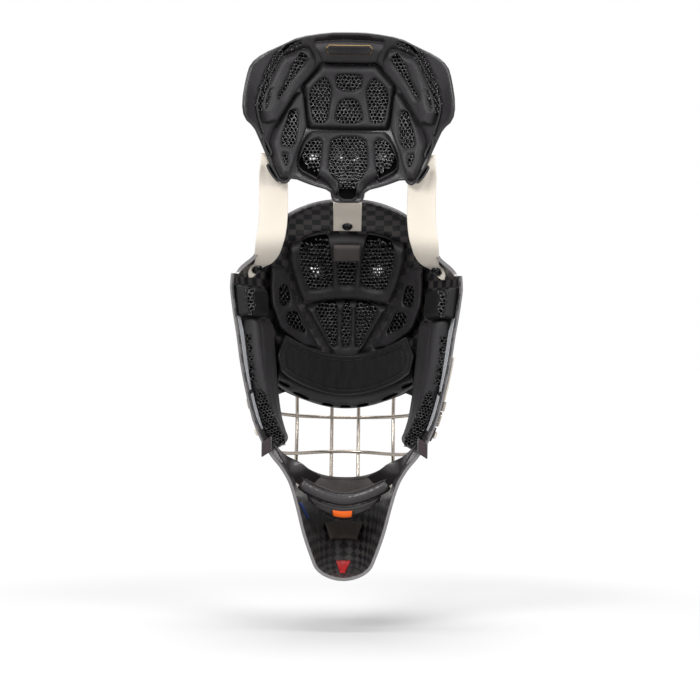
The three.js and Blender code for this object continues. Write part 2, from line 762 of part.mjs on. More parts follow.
const centreShares = [[0.845, 0.26], [0.718, 0.456], [0.65, 0.442], [0.517, 0.42], [0.455, 0.385]];
const plateLowerShares = [
  [0.435, 0.381],
  [0.339, 0.465],
  [0.253, 0.49],
  [0.184, 0.405],
  [0.12, 0.18],
  [0.04, 0.11],
];
const neckShares = [[0.957, 0.335], [0.868, 0.274]];
const wingShares = [
  [0.92, 0.38, 0.45],
  [0.87, 0.32, 0.64],
  [0.82, 0.34, 0.7],
  [0.727, 0.47, 0.77],
  [0.635, 0.58, 0.83],
  [0.549, 0.66, 0.86],
  [0.471, 0.74, 0.82],
];
const flankShares = [
  [0.672, 0.475, 0.5],
  [0.632, 0.461, 0.555],
  [0.537, 0.447, 0.64],
  [0.445, 0.425, 0.72],
  [0.345, 0.49, 0.765],
  [0.259, 0.525, 0.725],
  [0.19, 0.54, 0.685],
  [0.138, 0.567, 0.64],
];
const neckBow = 2.5;
const centreOptions = { columns: 12, lines: 8, wells: windowShares };
addPlatePad('back_centre_pad', plateRows(both(centreShares)), centreOptions);
addPlatePad('back_lower_pad', plateRows(both(plateLowerShares)), { ...centreOptions, lines: 9 });
addPlatePad('back_neck_pad', plateRows(both(neckShares)), { columns: 7, lines: 5, topBow: neckBow });
for (const [tag, side] of sides) {
  addPlatePad(`back_wing_pad_${tag}`, plateRows(onSide(wingShares, side)), { columns: 6, lines: 9 });
  addPlatePad(`back_side_pad_${tag}`, plateRows(onSide(flankShares, side)), { columns: 6, lines: 9 });
}

// Webbing: a strap swept along points, with the direction of its width given at each point
function ribbonFrame(points, acrosses, v) {
  const centres = new THREE.CatmullRomCurve3(points, false, 'centripetal');
  const widths = new THREE.CatmullRomCurve3(acrosses, false, 'centripetal');
  const across = widths.getPoint(v).normalize();
  return { centre: centres.getPoint(v), across, normal: centres.getTangent(v).cross(across).normalize() };
}

const waistShare = 0.62;
const waistFromShare = 0.62;
const waistToShare = 0.82;

function ribbon(points, acrosses, width, thickness, rows, tipShare = 1) {
  return slab(2, rows, (u, v, face) => {
    const { centre, across, normal } = ribbonFrame(points, acrosses, v);
    const waist = tipShare < 1 ? lerp(1, waistShare, smooth(v, waistFromShare, waistToShare)) : 1;
    const narrowing = v > 1 - 1 / (2 * rows) ? tipShare : waist;
    centre.addScaledVector(across, (u - 0.5) * width * narrowing);
    return centre.addScaledVector(normal, (face - 0.5) * thickness);
  });
}

const strapClear = 0.9;
const strapLie = strapClear + strapThickness / 2;
const strapFold = 2;
const strapRun = 8;
const snapRadius = 5.5;
const snapHeight = 2.4;
const snapRimShare = 0.35;
const snapCrownShare = 0.75;
const snapDishShare = 0.7;
const crownStrapEndZ = 128;
const crownSnapZ = 133;
const crownStrapBendZ = 141;
const crownStrapLift = 4;
const crownStrapDip = 3;
const crownStrapBackY = crownRimY - 5;
const sideStrapX = 76;
const sideSnapZ = 87;
const sideStrapTipZ = 77;
const sideStrapEndY = -46;
const sideStrapBendZ = 95;
const sideStrapHangZ = 108;
const sideStrapBackZ = 128;
const sideStrapTopZ = 165;
const sideStrapTopY = plateEdgeY + 4 * strapRun;
const sideStrapBackY = crownRimY - strapRun;
const strapTipShare = 0.25;
const strapTurnShare = 0.6;
const strapTwistShare = 0.2;
const rightAcross = V(1, 0, 0);

function snapProfile(radius, height) {
  return [
    [0, 0],
    [radius, 0],
    [radius, height * snapRimShare],
    [radius * snapCrownShare, height],
    [radius * snapRimShare, height],
    [0, height * snapDishShare],
  ];
}

const crownStrapPoints = [
  platePoint(0, plateBottomZ + 2 * strapRun, -strapLie),
  platePoint(0, plateBottomZ + strapRun, -strapLie),
  V(0, crownStrapBackY, crownZ + crownStrapLift),
  V(0, crownStrapBackY - strapThickness / 2, crownZ - crownStrapDip),
  V(0, crownRimY, crownZ - crownStrapDip - crownStrapLift),
  skinAtX(0, crownStrapBendZ, shellWall + strapLie),
  skinAtX(0, crownSnapZ, shellWall + strapLie),
  skinAtX(0, crownStrapEndZ, shellWall + strapLie),
];
const crownAcrosses = crownStrapPoints.map(() => rightAcross);
const crownStrap = ribbon(crownStrapPoints, crownAcrosses, crownStrapWidth, strapThickness, 16);
add('crown_strap', crownStrap, 'elastic');
const snapSeat = shellWall + strapClear + strapThickness + seatGap;
const crownSnapSeat = skinAtX(0, crownSnapZ, snapSeat + seatGap);
const crownSnapAxis = skinAtX(0, crownSnapZ, snapSeat + snapHeight).sub(crownSnapSeat).normalize();
add('crown_snap', turned(snapProfile(snapRadius, snapHeight), crownSnapSeat, crownSnapAxis), 'blackSteel');

for (const [tag, side] of sides) {
  const x = side * sideStrapX;
  const depth = shellWall + strapLie + strapFold;
  const points = [
    platePoint(x, plateWaistZ, -strapLie),
    platePoint(x, plateWaistZ - strapRun, -strapLie),
    V(x, sideStrapTopY, sideStrapTopZ),
    V(x, sideStrapBackY, sideStrapBackZ),
    V(x + side * strapFold, sideStrapBackY, sideStrapHangZ),
    skinAtY(side, sideStrapEndY - strapRun, sideStrapBendZ, depth + 2 * strapFold),
    skinAtY(side, sideStrapEndY, sideSnapZ, depth),
    skinAtY(side, sideStrapEndY, sideStrapTipZ, depth),
  ];
  const inward = V(-side, 0, 0);
  const plateOuter = platePoint(x + side * strapRun, plateWaistZ, 0);
  const plateRun = platePoint(x - side * strapRun, plateWaistZ, 0).sub(plateOuter).normalize();
  const wallBack = skinAtY(side, sideStrapEndY - strapRun, sideSnapZ, depth);
  const alongWall = skinAtY(side, sideStrapEndY + strapRun, sideSnapZ, depth).sub(wallBack).normalize();
  const twisting = inward.clone().lerp(alongWall, strapTwistShare);
  const turning = inward.clone().lerp(alongWall, strapTurnShare).normalize();
  const acrosses = [plateRun, plateRun, inward, inward, twisting, turning, alongWall, alongWall];
  const strap = ribbon(points, acrosses, sideStrapWidth, strapThickness, 16, strapTipShare);
  add(`side_strap_${tag}`, strap, 'elastic');
  const snapAt = (points.length - 2) / (points.length - 1);
  const { centre, normal } = ribbonFrame(points, acrosses, snapAt);
  if (normal.x * side > 0) normal.negate();
  const seat = centre.addScaledVector(normal, strapThickness / 2 + 6 * seatGap);
  add(`side_snap_${tag}`, turned(snapProfile(snapRadius, snapHeight), seat, normal, 10), 'blackSteel');
}

// Chin cup: a leather bowl slung between the side walls of the chin
const lobeTopZ = -135;
const lobeHornZ = -124;
const lobeSideClear = 15.1;
const lobeHalf = rimHalfWidth(lobeHornZ) - shellWall - lobeSideClear;
const lobeFootShare = 0.773;
const lobeFootHalf = lobeFootShare * lobeHalf;
const lobeFootZ = -157;
const lobeFrontY = 8;
const lobeHornY = -30;
const lobeFootY = -18;
const lobeFootSideY = -27;
const cupLeather = 4;
const cupSweepPower = 1.3;
const leanAcrossShare = 0.7;
const leanUpShare = 0.35;
const rollRadius = 7;
const rollEndY = -57;
const rollEndZ = -137;
const rollSideClear = 9.8;
const rollHalf = rimHalfWidth(rollEndZ) - shellWall - rollSideClear;
const rollMiddleY = -52;
const rollMiddleZ = -152;
const rollSagShare = 0.3;
const bandGap = 1.3;
const bandTopShare = 0.857;
const bandTuckShare = 0.762;
const bandFoldShare = 0.595;
const bandTopHalf = bandTopShare * rollHalf;
const bandTuckHalf = bandTuckShare * rollHalf;
const bandFoldHalf = bandFoldShare * rollHalf;
const bandDrop = 10;
const bandRise = 11;
const bandTopRise = 12;

function lobePoint(u, v, offset) {
  const share = 2 * u - 1;
  const arc = share ** 2;
  const x = share * lerp(lobeHalf, lobeFootHalf, v);
  const z = lerp(lerp(lobeTopZ, lobeHornZ, arc), lobeFootZ, v);
  const topY = lerp(lobeFrontY, lobeHornY, arc);
  const y = lerp(topY, lerp(lobeFootY, lobeFootSideY, arc), v ** cupSweepPower);
  const lean = V(-share * leanAcrossShare, -1, leanUpShare).normalize();
  return V(x, y, z).addScaledVector(lean, offset);
}

add('chin_cup_lobe', slab(10, 5, (u, v, face) => lobePoint(u, v, face * cupLeather)), 'leather');
const rollSagY = lerp(rollMiddleY, rollEndY, rollSagShare);
const rollSagZ = lerp(rollMiddleZ, rollEndZ, rollSagShare);
const rollPoints = [
  V(-rollHalf, rollEndY, rollEndZ),
  V(-rollHalf / 2, rollSagY, rollSagZ),
  V(0, rollMiddleY, rollMiddleZ),
  V(rollHalf / 2, rollSagY, rollSagZ),
  V(rollHalf, rollEndY, rollEndZ),
];
add('chin_cup_roll', outward(closed(tube(rollPoints, rollRadius, 14, false))), 'leather');
const bandUnderZ = rollMiddleZ - rollRadius;
const bandPath = [
  V(bandTopHalf, rollMiddleY - bandGap, bandUnderZ - bandGap),
  V(bandTuckHalf, rollMiddleY + 2 * bandGap, bandUnderZ - bandDrop),
  V(bandFoldHalf, lerp(rollMiddleY, lobeFootY, 0.4), bandUnderZ - bandDrop - cupLeather),
  V(bandFoldHalf + bandGap, lobeFootY - 2 * cupLeather, lobeFootZ - bandDrop),
  V(bandTuckHalf - bandGap, lobeFootY - cupLeather / 2, lobeFootZ - 3 * seatGap),
];
const bandCurve = new THREE.CatmullRomCurve3(bandPath, false, 'centripetal');
add('chin_cup_band', slab(8, 8, (u, v, face) => {
  const share = 2 * u - 1;
  const point = bandCurve.getPoint(v);
  const normal = bandCurve.getTangent(v).setX(0).cross(rightAcross).normalize();
  const rise = share ** 2 * (bandRise * Math.sin(Math.PI * v) ** 2 + bandTopRise * (1 - v) ** 2);
  const at = V(share * point.x, point.y, point.z + rise);
  return at.addScaledVector(normal, (face - 0.5) * cupLeather * snapCrownShare);
}), 'leather');

// Chin straps, jaw loops and the webbing on the outside of the jaw
const loopTopZ = -92;
const loopBottomZ = -107;
const loopStartShare = 0.93;
const loopThickness = 1.8;
const loopMiddleZ = (loopTopZ + loopBottomZ) / 2;
const chinSpanZ = (loopBottomZ + lobeHornZ) / 2;
const outerTurnShares = { l: 0.885, r: 0.955 };
const outerStrapTopZ = -6;
const outerStrapEndZ = -50;
const outerStrapHalfShare = 0.034;
const strapCapZ = -60;
const ringTopZ = -63.2;
const hookEndZ = -73.5;
const hookWire = 1.2;
const jawStrapTopZ = -77;
const jawStrapEndZ = -90.5;
const chinStrapWidth = 8;
const chinStrapY = 7;
const outerClear = 0.5;
const wrapShare = 0.6;
const chinSpanShare = 0.88;
const capShare = 1.1;
const lobeSeatShares = { l: 0.1, r: 0.9 };
const lobeSeatDownShare = 0.3;

function onOutside(side, turn, z, depth) {
  return skin(z, side * turn, -depth);
}

const loopHalfShare = (1 + loopStartShare) / 2;
const loopTurnShares = [loopStartShare, loopHalfShare, 1, 1, 1, loopHalfShare, loopStartShare];
for (const [tag, side] of sides) {
  add(`jaw_loop_${tag}`, slab(6, 3, (u, v, face) => {
    const z = lerp(loopTopZ, loopBottomZ, v);
    const k = Math.round(u * 6);
    const depth = 2 * strapClear - seatGap + face * loopThickness;
    if (k === 3) return skin(z, side, shellWall / 2).add(V(0, -depth, 0));
    const wrap = k === 2 || k === 4 ? depth * wrapShare : 0;
    return skin(z, side * loopTurnShares[k], k < 3 ? -depth : shellWall + depth).add(V(0, -wrap, 0));
  }), 'darkElastic');

  const lobeLift = cupLeather + strapClear + strapThickness;
  const straight = lobePoint(lobeSeatShares[tag], lobeSeatDownShare, lobeLift);
  const chinPoints = [
    skin(loopMiddleZ, side * loopStartShare, shellWall + strapClear + loopThickness + strapLie),
    skin(chinSpanZ, side * chinSpanShare, shellWall + strapLie + strapFold),
    straight.clone().add(V(side * 2 * strapFold, -chinStrapY, chinStrapWidth)),
    straight,
  ];
  const chinTurn = V(-side * 0.4, 0.9, 0.1);
  const acrosses = [V(0, 1, 0), V(0, 1, 0), chinTurn, V(-side * 0.6, 0.7, 0.1)];
  const chinStrap = ribbon(chinPoints, acrosses, chinStrapWidth, strapThickness, 8);
  add(`chin_strap_${tag}`, chinStrap, 'leather');

  const turn = outerTurnShares[tag];
  const sheet = (fromZ, toZ, half, low, high, rows) => slab(2, rows, (u, v, face) => {
    const z = lerp(fromZ, toZ, v);
    return onOutside(side, turn + lerp(-half, half, u), z, lerp(low, high, face));
  });
  const half = outerStrapHalfShare;
  const top = outerClear + strapThickness;
  const strap = sheet(outerStrapTopZ, outerStrapEndZ, half, outerClear, top, 6);
  add(`outer_strap_${tag}`, strap, 'elastic');
  const capTop = top + strapThickness;
  const cap = sheet(outerStrapEndZ - seatGap, strapCapZ, half * capShare, outerClear, capTop, 2);
  add(`strap_cap_${tag}`, cap, 'steel');
  const ring = [[ringTopZ, -1], [ringTopZ, 1], [hookEndZ, 1], [hookEndZ, -1]];
  const ringPoints = ring.map(([z, way]) => onOutside(side, turn + way * half / 2, z, top));
  add(`jaw_hook_${tag}`, outward(closed(tube(ringPoints, hookWire, 16, true))), 'steel');
  const jawStrap = sheet(jawStrapTopZ, jawStrapEndZ, half / 2, outerClear, top, 3);
  add(`jaw_strap_${tag}`, jawStrap, 'darkElastic');
  const snapZ = (jawStrapTopZ + jawStrapEndZ) / 2;
  const seat = onOutside(side, turn, snapZ, top + 2 * seatGap);
  const axis = onOutside(side, turn, snapZ, top + snapHeight).sub(seat).normalize();
  const jawSnap = turned(snapProfile(snapRadius * snapDishShare, snapHeight), seat, axis, 10);
  add(`jaw_snap_${tag}`, jawSnap, 'elastic');
}

export default mask;
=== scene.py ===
"""Looks of an ice-hockey goalie mask with its back plate flipped up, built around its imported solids.

Lengths inside the classes are millimetres in the model's frame: +Z from chin to crown, +Y from neck
to face. Every mesh is scaled to metres when it is made. Outlines seen in the photograph are given as
places in its 700-wide frame. The camera is 2090 mm behind the head's centre, and a millimetre in the
plane 2000 mm from it is one step of that frame.
"""
import logging
import math
from dataclasses import dataclass, field, replace
from enum import Enum
from typing import Callable, Sequence

import bmesh
import bpy
import numpy as np
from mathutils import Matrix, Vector
from mathutils.geometry import delaunay_2d_cdt


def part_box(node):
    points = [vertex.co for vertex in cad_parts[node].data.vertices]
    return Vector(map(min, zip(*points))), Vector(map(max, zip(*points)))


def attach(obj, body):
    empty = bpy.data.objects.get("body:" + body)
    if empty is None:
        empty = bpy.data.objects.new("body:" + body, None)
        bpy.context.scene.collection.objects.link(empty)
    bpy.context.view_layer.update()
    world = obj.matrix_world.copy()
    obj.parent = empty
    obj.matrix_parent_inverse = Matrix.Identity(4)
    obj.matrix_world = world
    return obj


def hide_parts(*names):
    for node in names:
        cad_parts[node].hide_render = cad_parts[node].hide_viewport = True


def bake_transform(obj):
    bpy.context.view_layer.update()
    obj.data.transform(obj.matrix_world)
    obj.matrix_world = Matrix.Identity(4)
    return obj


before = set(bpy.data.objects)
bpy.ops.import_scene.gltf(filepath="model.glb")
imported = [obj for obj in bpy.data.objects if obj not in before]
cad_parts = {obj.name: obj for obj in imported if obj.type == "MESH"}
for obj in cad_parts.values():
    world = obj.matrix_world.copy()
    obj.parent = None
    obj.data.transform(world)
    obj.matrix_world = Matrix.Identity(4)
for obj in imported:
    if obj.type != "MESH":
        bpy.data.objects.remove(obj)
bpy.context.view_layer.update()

log = logging.getLogger("goalie_mask")
MM = 0.001
SIDES = (("l", -1.0), ("r", 1.0))
FRAME_HALF = 350.0
CAMERA_MM = 2090.0
RIM_PLANE_MM = 2000.0
PLATE_HALF = 107.5
PLATE_LOW, PLATE_HIGH = 146.0, 320.0
PLATE_VENT_Z = 194.0
LOOP_Z = -99.5
HEX_ROW = 0.866
BUMP_M = 0.0004
Array = np.ndarray
Piece = bpy.types.Object
Material = bpy.types.Material
Node = bpy.types.Node
Socket = bpy.types.NodeSocket
Place = Callable[[Array, Array, Array], Array]


def smooth(value: Array, low: float, high: float) -> Array:
    """Rises smoothly from 0 at low to 1 at high."""
    t = np.clip((value - low) / (high - low), 0, 1)
    return t * t * (3 - 2 * t)


def mix(a: Array, b: Array, share: Array) -> Array:
    """Straight mix of two values."""
    return a + (b - a) * share


def spread(*values: float | Array) -> list:
    """Numbers and arrays as float arrays of one shape."""
    return np.broadcast_arrays(*(np.asarray(value, float) for value in values))


def unit(vectors: Array) -> Array:
    """Vectors of length one along the last axis."""
    return vectors / np.maximum(np.linalg.norm(vectors, axis=-1, keepdims=True), 1e-9)


def bisected(shape: tuple, low: float, high: float, under: Callable, rounds: int = 26) -> Array:
    """Values, found by halving, up to which a test holds.

    Args:
        shape: shape of the array to give back.
        low: lowest value, at which the test holds.
        high: highest value.
        under: the test, given an array of values.
        rounds: how often the span is halved.

    Returns:
        The values.
    """
    lows, highs = np.full(shape, low, float), np.full(shape, high, float)
    for _ in range(rounds):
        middle = (lows + highs) / 2
        holds = under(middle)
        lows, highs = np.where(holds, middle, lows), np.where(holds, highs, middle)
    return (lows + highs) / 2


def through(points: Sequence, count: int, closed: bool = False) -> Array:
    """Centripetal curve through points.

    Args:
        points: the points that the curve passes, in order.
        count: how many samples to give back.
        closed: whether the curve returns to its start.

    Returns:
        The samples, evenly spaced between the given points.
    """
    given = np.asarray(points, float)
    size = len(given)
    spans = size if closed else size - 1
    if not closed:
        given = np.vstack([2 * given[0] - given[1], given, 2 * given[-1] - given[-2]])
    out = []
    for share in np.linspace(0, spans, count, endpoint=not closed):
        k = min(int(share), spans - 1)
        t = share - k
        if closed:
            p0, p1, p2, p3 = (given[(k + i - 1) % size] for i in range(4))
        else:
            p0, p1, p2, p3 = given[k:k + 4]
        d0, d1, d2 = (max(np.linalg.norm(b - a) ** 0.5, 1e-4) for a, b in ((p0, p1), (p1, p2), (p2, p3)))
        m1 = ((p1 - p0) / d0 - (p2 - p0) / (d0 + d1) + (p2 - p1) / d1) * d1
        m2 = ((p2 - p1) / d1 - (p3 - p1) / (d1 + d2) + (p3 - p2) / d2) * d1
        out.append(p1 + m1 * t + (3 * (p2 - p1) - 2 * m1 - m2) * t ** 2 + (2 * (p1 - p2) + m1 + m2) * t ** 3)
    return np.array(out)


def mesh_object(name: str, verts: Array, faces: Sequence, finish: Material,
                uv: Array | None = None) -> Piece:
    """Makes a smooth-shaded mesh object from points in millimetres.

    Args:
        name: the piece's name.
        verts: its points.
        faces: index tuples.
        finish: the material of every face.
        uv: texture place of each point, in millimetres.

    Returns:
        The linked object.
    """
    mesh = bpy.data.meshes.new(name)
    mesh.from_pydata((np.asarray(verts) * MM).tolist(), [], [tuple(map(int, f)) for f in faces])
    mesh.validate()
    if uv is not None:
        layer = mesh.uv_layers.new(name="cloth")
        index = np.zeros(len(mesh.loops), int)
        mesh.loops.foreach_get("vertex_index", index)
        layer.data.foreach_set("uv", (uv[index]).astype(np.float32).ravel())
    mesh.materials.append(finish)
    mesh.shade_smooth()
    piece = bpy.data.objects.new(name, mesh)
    bpy.context.scene.collection.objects.link(piece)
    edit = bmesh.new()
    edit.from_mesh(mesh)
    bmesh.ops.recalc_face_normals(edit, faces=edit.faces)
    edit.to_mesh(mesh)
    edit.free()
    return piece


def grid_faces(rows: int, columns: int, wrap: bool = False, start: int = 0) -> list:
    """Quads of a grid of rows by columns points, joined round the columns where wrap is set.

    Args:
        rows: points one way.
        columns: points the other way.
        wrap: whether each row closes.
        start: number of its first point.

    Returns:
        The index tuples.
    """
    faces = []
    for i in range(rows - 1):
        for j in range(columns if wrap else columns - 1):
            k = (j + 1) % columns
            faces.append((start + i * columns + j, start + i * columns + k,
                          start + (i + 1) * columns + k, start + (i + 1) * columns + j))
    return faces


def loft(name: str, rings: Array, finish: Material, closed: bool = False,
         uv: Array | None = None) -> Piece:
    """Skin over rings of points, with flat ends unless it closes on itself.

    Args:
        name: the piece's name.
        rings: array of rings, points and coordinates.
        finish: its material.
        closed: whether the last ring joins the first.
        uv: texture place of each ring point.

    Returns:
        The linked object.
    """
    count, size = rings.shape[:2]
    last = (count - 1) * size
    faces = grid_faces(count, size, wrap=True)
    if closed:
        faces += [(last + j, last + (j + 1) % size, (j + 1) % size, j) for j in range(size)]
    else:
        faces += [tuple(range(size)), tuple(last + j for j in range(size))]
    flat_uv = None if uv is None else uv.reshape(-1, 2)
    return mesh_object(name, rings.reshape(-1, 3), faces, finish, flat_uv)


def transported(points: Array, closed: bool) -> tuple:
    """Two directions square to a path that turn as little as they can.

    Args:
        points: the path.
        closed: whether it returns to its start.

    Returns:
        The two arrays of directions.
    """
    if closed:
        tangents = unit(np.roll(points, -1, 0) - np.roll(points, 1, 0))
    else:
        tangents = unit(np.gradient(points, axis=0))
    side = np.cross(tangents[0], (0.3, 0.2, 0.93))
    firsts = []
    for tangent in tangents:
        side = unit(side - tangent * np.dot(side, tangent))
        firsts.append(side)
    first = np.array(firsts)
    second = np.cross(tangents, first)
    if closed:
        last = unit(first[-1] - tangents[0] * np.dot(first[-1], tangents[0]))
        twist = math.atan2(np.dot(last, second[0]), np.dot(last, first[0]))
        angles = -twist * np.arange(len(points))[:, None] / len(points)
        first, second = (first * np.cos(angles) + second * np.sin(angles),
                         second * np.cos(angles) - first * np.sin(angles))
    return first, second


def wire(name: str, points: Array, radius: float | Array, finish: Material,
         closed: bool = False, sides: int = 14) -> Piece:
    """Round wire along a path, with narrowed ends unless it closes on itself.

    Args:
        name: the piece's name.
        points: the path.
        radius: one radius, or one for each point.
        finish: its material.
        closed: whether the path returns to its start.
        sides: points round it.

    Returns:
        The linked object.
    """
    first, second = transported(points, closed)
    radii = np.broadcast_to(np.asarray(radius, float), len(points)).copy()
    if not closed:
        radii[[0, -1]] *= 0.55
    angle = np.arange(sides) / sides * 2 * math.pi
    ring = (first[:, None] * np.cos(angle)[None, :, None] + second[:, None] * np.sin(angle)[None, :, None])
    return loft(name, points[:, None] + ring * radii[:, None, None], finish, closed)


def round_box(half_width: float, half_height: float, radius: float, steps: int = 3) -> Array:
    """Outline of a rectangle with rounded corners."""
    out = []
    for k, (sx, sy) in enumerate(((1, 1), (-1, 1), (-1, -1), (1, -1))):
        for step in range(steps + 1):
            angle = (k + step / steps) * math.pi / 2
            out.append((sx * (half_width - radius) + radius * math.cos(angle),
                        sy * (half_height - radius) + radius * math.sin(angle)))
    return np.array(out)


def ribbon(name: str, points: Sequence, acrosses: Sequence, widths: Callable, thickness: float,
           finish: Material, count: int = 60) -> Piece:
    """Flat strap with rounded edges along a path.

    Args:
        name: the piece's name.
        points: points of the path.
        acrosses: direction of the width at each point.
        widths: width at a share of the length.
        thickness: thickness of the webbing.
        finish: its material.
        count: rings along the path.

    Returns:
        The linked object, with its texture laid along the webbing.
    """
    path = through(points, count)
    across = unit(through(acrosses, count))
    tangent = unit(np.gradient(path, axis=0))
    normal = unit(np.cross(tangent, across))
    along = np.concatenate([[0], np.cumsum(np.linalg.norm(np.diff(path, axis=0), axis=1))])
    rings, uv = [], []
    for k, share in enumerate(np.linspace(0, 1, count)):
        half = widths(share) / 2
        outline = round_box(half, thickness / 2, min(thickness / 2, half) * 0.9)
        between = np.linspace(-half, half, 9)[1:-1]
        upper = np.column_stack([between[::-1], np.full(7, thickness / 2)])
        lower = np.column_stack([between, np.full(7, -thickness / 2)])
        outline = np.vstack([outline[:4], upper, outline[4:12], lower, outline[12:]])
        rings.append(path[k] + across[k] * outline[:, :1] + normal[k] * outline[:, 1:])
        uv.append(np.column_stack([outline[:, 0], np.full(len(outline), along[k])]))
    return loft(name, np.array(rings), finish, uv=np.array(uv))


def turned(name: str, profile: Sequence, origin: Array, axis: Array, finish: Material,
           sides: int = 28) -> Piece:
    """Round part turned about an axis from pairs of radius and height.

    Args:
        name: the piece's name.
        profile: the pairs, from foot to top.
        origin: where its foot stands.
        axis: direction of its height.
        finish: its material.
        sides: points round it.

    Returns:
        The linked object.
    """
    axis = unit(np.asarray(axis, float))
    first = unit(np.cross(axis, (0.31, 0.17, 0.93)))
    second = np.cross(axis, first)
    angle = np.arange(sides) / sides * 2 * math.pi
    rings = [origin + axis * height + (first * np.cos(angle)[:, None] + second * np.sin(angle)[:, None])
             * max(radius, 0.05) for radius, height in profile]
    return loft(name, np.array(rings), finish)


def seat(piece: Piece, body: str, slot: str, *nodes: str) -> Piece:
    """Lets a piece ride on a body, hides the solids that it stands for, and logs it.

    Args:
        piece: the piece.
        body: the body.
        slot: its slot, or nothing; not used.
        nodes: solids that it replaces.

    Returns:
        The piece.
    """
    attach(piece, body)
    if nodes:
        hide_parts(*nodes)
    log.info("%s rides on %s", piece.name, body)
    return piece


def sling(strap: Piece, upper: str, lower: str,
          node: str) -> None:
    """Bakes a strap's placing into its mesh, hides the solid that it stands for, and logs the bodies at its
    ends.

    Args:
        strap: the strap.
        upper: body at its start.
        lower: body at its end.
        node: the solid that it replaces.
    """
    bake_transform(strap)
    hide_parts(node)
    log.info("%s bends between %s and %s", strap.name, upper, lower)


@dataclass(frozen=True)
class ShellForm:
    """Double-curved wall of the mask, by height and by turn from -1 at the left rim to 1 at the right."""

    crown_z: float = 153.0
    chin_z: float = -233.4
    wall: float = 3.6
    widest_z: float = 60.0
    crown_half: float = 99.5
    brow_z: float = -30.0
    brow_y: float = 75.0
    rim_y: float = -66.0
    brow_radius: float = 260.0
    flare: float = 17.0
    setback: float = 24.0
    crown_power: float = 2.2
    brow_power: float = 2.3
    tip_share: float = 0.94
    tip_power: float = 2.6
    panel_turn: float = 0.64
    flare_top_z: float = 97.0
    flare_end_z: float = -95.0
    notch_z: float = 75.5
    eye_top_z: float = -36.0
    eye_bottom_z: float = -150.0
    drop_shares: tuple = (0, 0.055, 0.172, 0.248, 0.379, 0.45, 0.516, 0.575, 0.616, 0.668, 0.743, 0.836,
                          0.926, 1)
    width_shares: tuple = (1, 0.984, 0.956, 0.952, 0.93, 0.905, 0.85, 0.742, 0.646, 0.56, 0.492, 0.422,
                           0.33, 0.24)

    def width_share(self, drop: Array) -> Array:
        """Monotone cubic through the outline's table of widths."""
        xs, ys = np.array(self.drop_shares, float), np.array(self.width_shares, float)
        slopes = np.diff(ys) / np.diff(xs)
        product = slopes[:-1] * slopes[1:]
        inner = np.where(product <= 0, 0, 2 * product / np.where(product <= 0, 1, slopes[:-1] + slopes[1:]))
        tangents = np.concatenate([slopes[:1], inner, slopes[-1:]])
        k = np.clip(np.searchsorted(xs, drop, side="left") - 1, 0, len(xs) - 2)
        span = xs[k + 1] - xs[k]
        t = np.clip((drop - xs[k]) / span, 0, 1)
        value = ys[k] * (1 + 2 * t) * (1 - t) ** 2 + ys[k + 1] * t ** 2 * (3 - 2 * t)
        return value + span * (tangents[k] * t * (1 - t) ** 2 + tangents[k + 1] * t ** 2 * (t - 1))

    def rim_half(self, z: Array) -> Array:
        """Half-width of the rim without its flared side panels."""
        rise = np.clip((z - self.widest_z) / (self.crown_z - self.widest_z), 0, 1)
        above = self.crown_half * (1 - rise ** self.crown_power) ** (1 / self.crown_power)
        drop = np.clip((self.widest_z - z) / (self.widest_z - self.chin_z), 0, 1)
        tip = np.clip((drop - self.tip_share) / (1 - self.tip_share), 0, 1)
        below = self.crown_half * self.width_share(drop) * np.sqrt(np.maximum(1 - tip ** self.tip_power, 0))
        return np.where(z >= self.widest_z, above, below)

    def front_y(self, z: Array) -> Array:
        """Front profile on the centre line."""
        centre = self.brow_y - self.brow_radius
        radius = (self.crown_z - self.brow_z) / math.sqrt(1 - ((self.rim_y - centre) / self.brow_radius) ** 2)
        above = centre + self.brow_radius * np.sqrt(np.maximum(1 - ((z - self.brow_z) / radius) ** 2, 0))
        drop = np.clip((self.brow_z - z) / (self.brow_z - self.chin_z), 0, 1)
        fall = (1 - drop ** self.brow_power) ** (1 / self.brow_power)
        below = self.rim_y + (self.brow_y - self.rim_y) * fall
        return np.where(z >= self.brow_z, above, below)

    def outer(self, z: Array, turn: Array) -> Array:
        """Points of the outer face.

        Args:
            z: heights.
            turn: turns.

        Returns:
            The points.
        """
        z, turn = spread(z, turn)
        angle = np.abs(turn) * math.pi / 2
        panel = (1 - smooth(z, self.notch_z, self.flare_top_z)) * smooth(np.abs(turn), self.panel_turn, 1)
        flare = self.flare * panel * smooth(z, self.flare_end_z, self.widest_z) ** 0.7
        face = smooth(z, self.eye_bottom_z, self.eye_top_z)
        setback = self.setback * panel * mix(0.2, 1, face)
        x = self.rim_half(z) * np.sin(angle) + flare
        forward = np.maximum(np.cos(angle), 0) ** mix(1.1, 0.82, face)
        y = self.rim_y + (self.front_y(z) - self.rim_y) * forward - setback
        return np.stack([np.sign(turn) * x, y, z], axis=-1)

    def normal(self, z: Array, turn: Array) -> Array:
        """Outward directions of the outer face."""
        z, turn = spread(z, turn)
        step, turn_step = 0.6, 0.008
        pole = (z > self.crown_z - step) | (z < self.chin_z + step)
        side = np.where(pole, 0, np.clip(turn, -0.985, 0.985))
        height = np.clip(z, self.chin_z + 2 * step, self.crown_z - 2 * step)
        along = self.outer(height + step, side) - self.outer(height - step, side)
        across = self.outer(height, side + turn_step) - self.outer(height, side - turn_step)
        return -unit(np.cross(across, along))

    def skin(self, z: Array, turn: Array, depth: Array) -> Array:
        """Points at a depth inside the outer face."""
        return self.outer(z, turn) - self.normal(z, turn) * np.asarray(depth, float)[..., None]

    def turn_at_x(self, x: Array, z: Array, depth: Array) -> Array:
        """Turns at which a layer of the shell lies at given x."""
        x, z, depth = spread(x, z, depth)
        return bisected(x.shape, -1, 1, lambda turn: self.skin(z, turn, depth)[..., 0] < x)

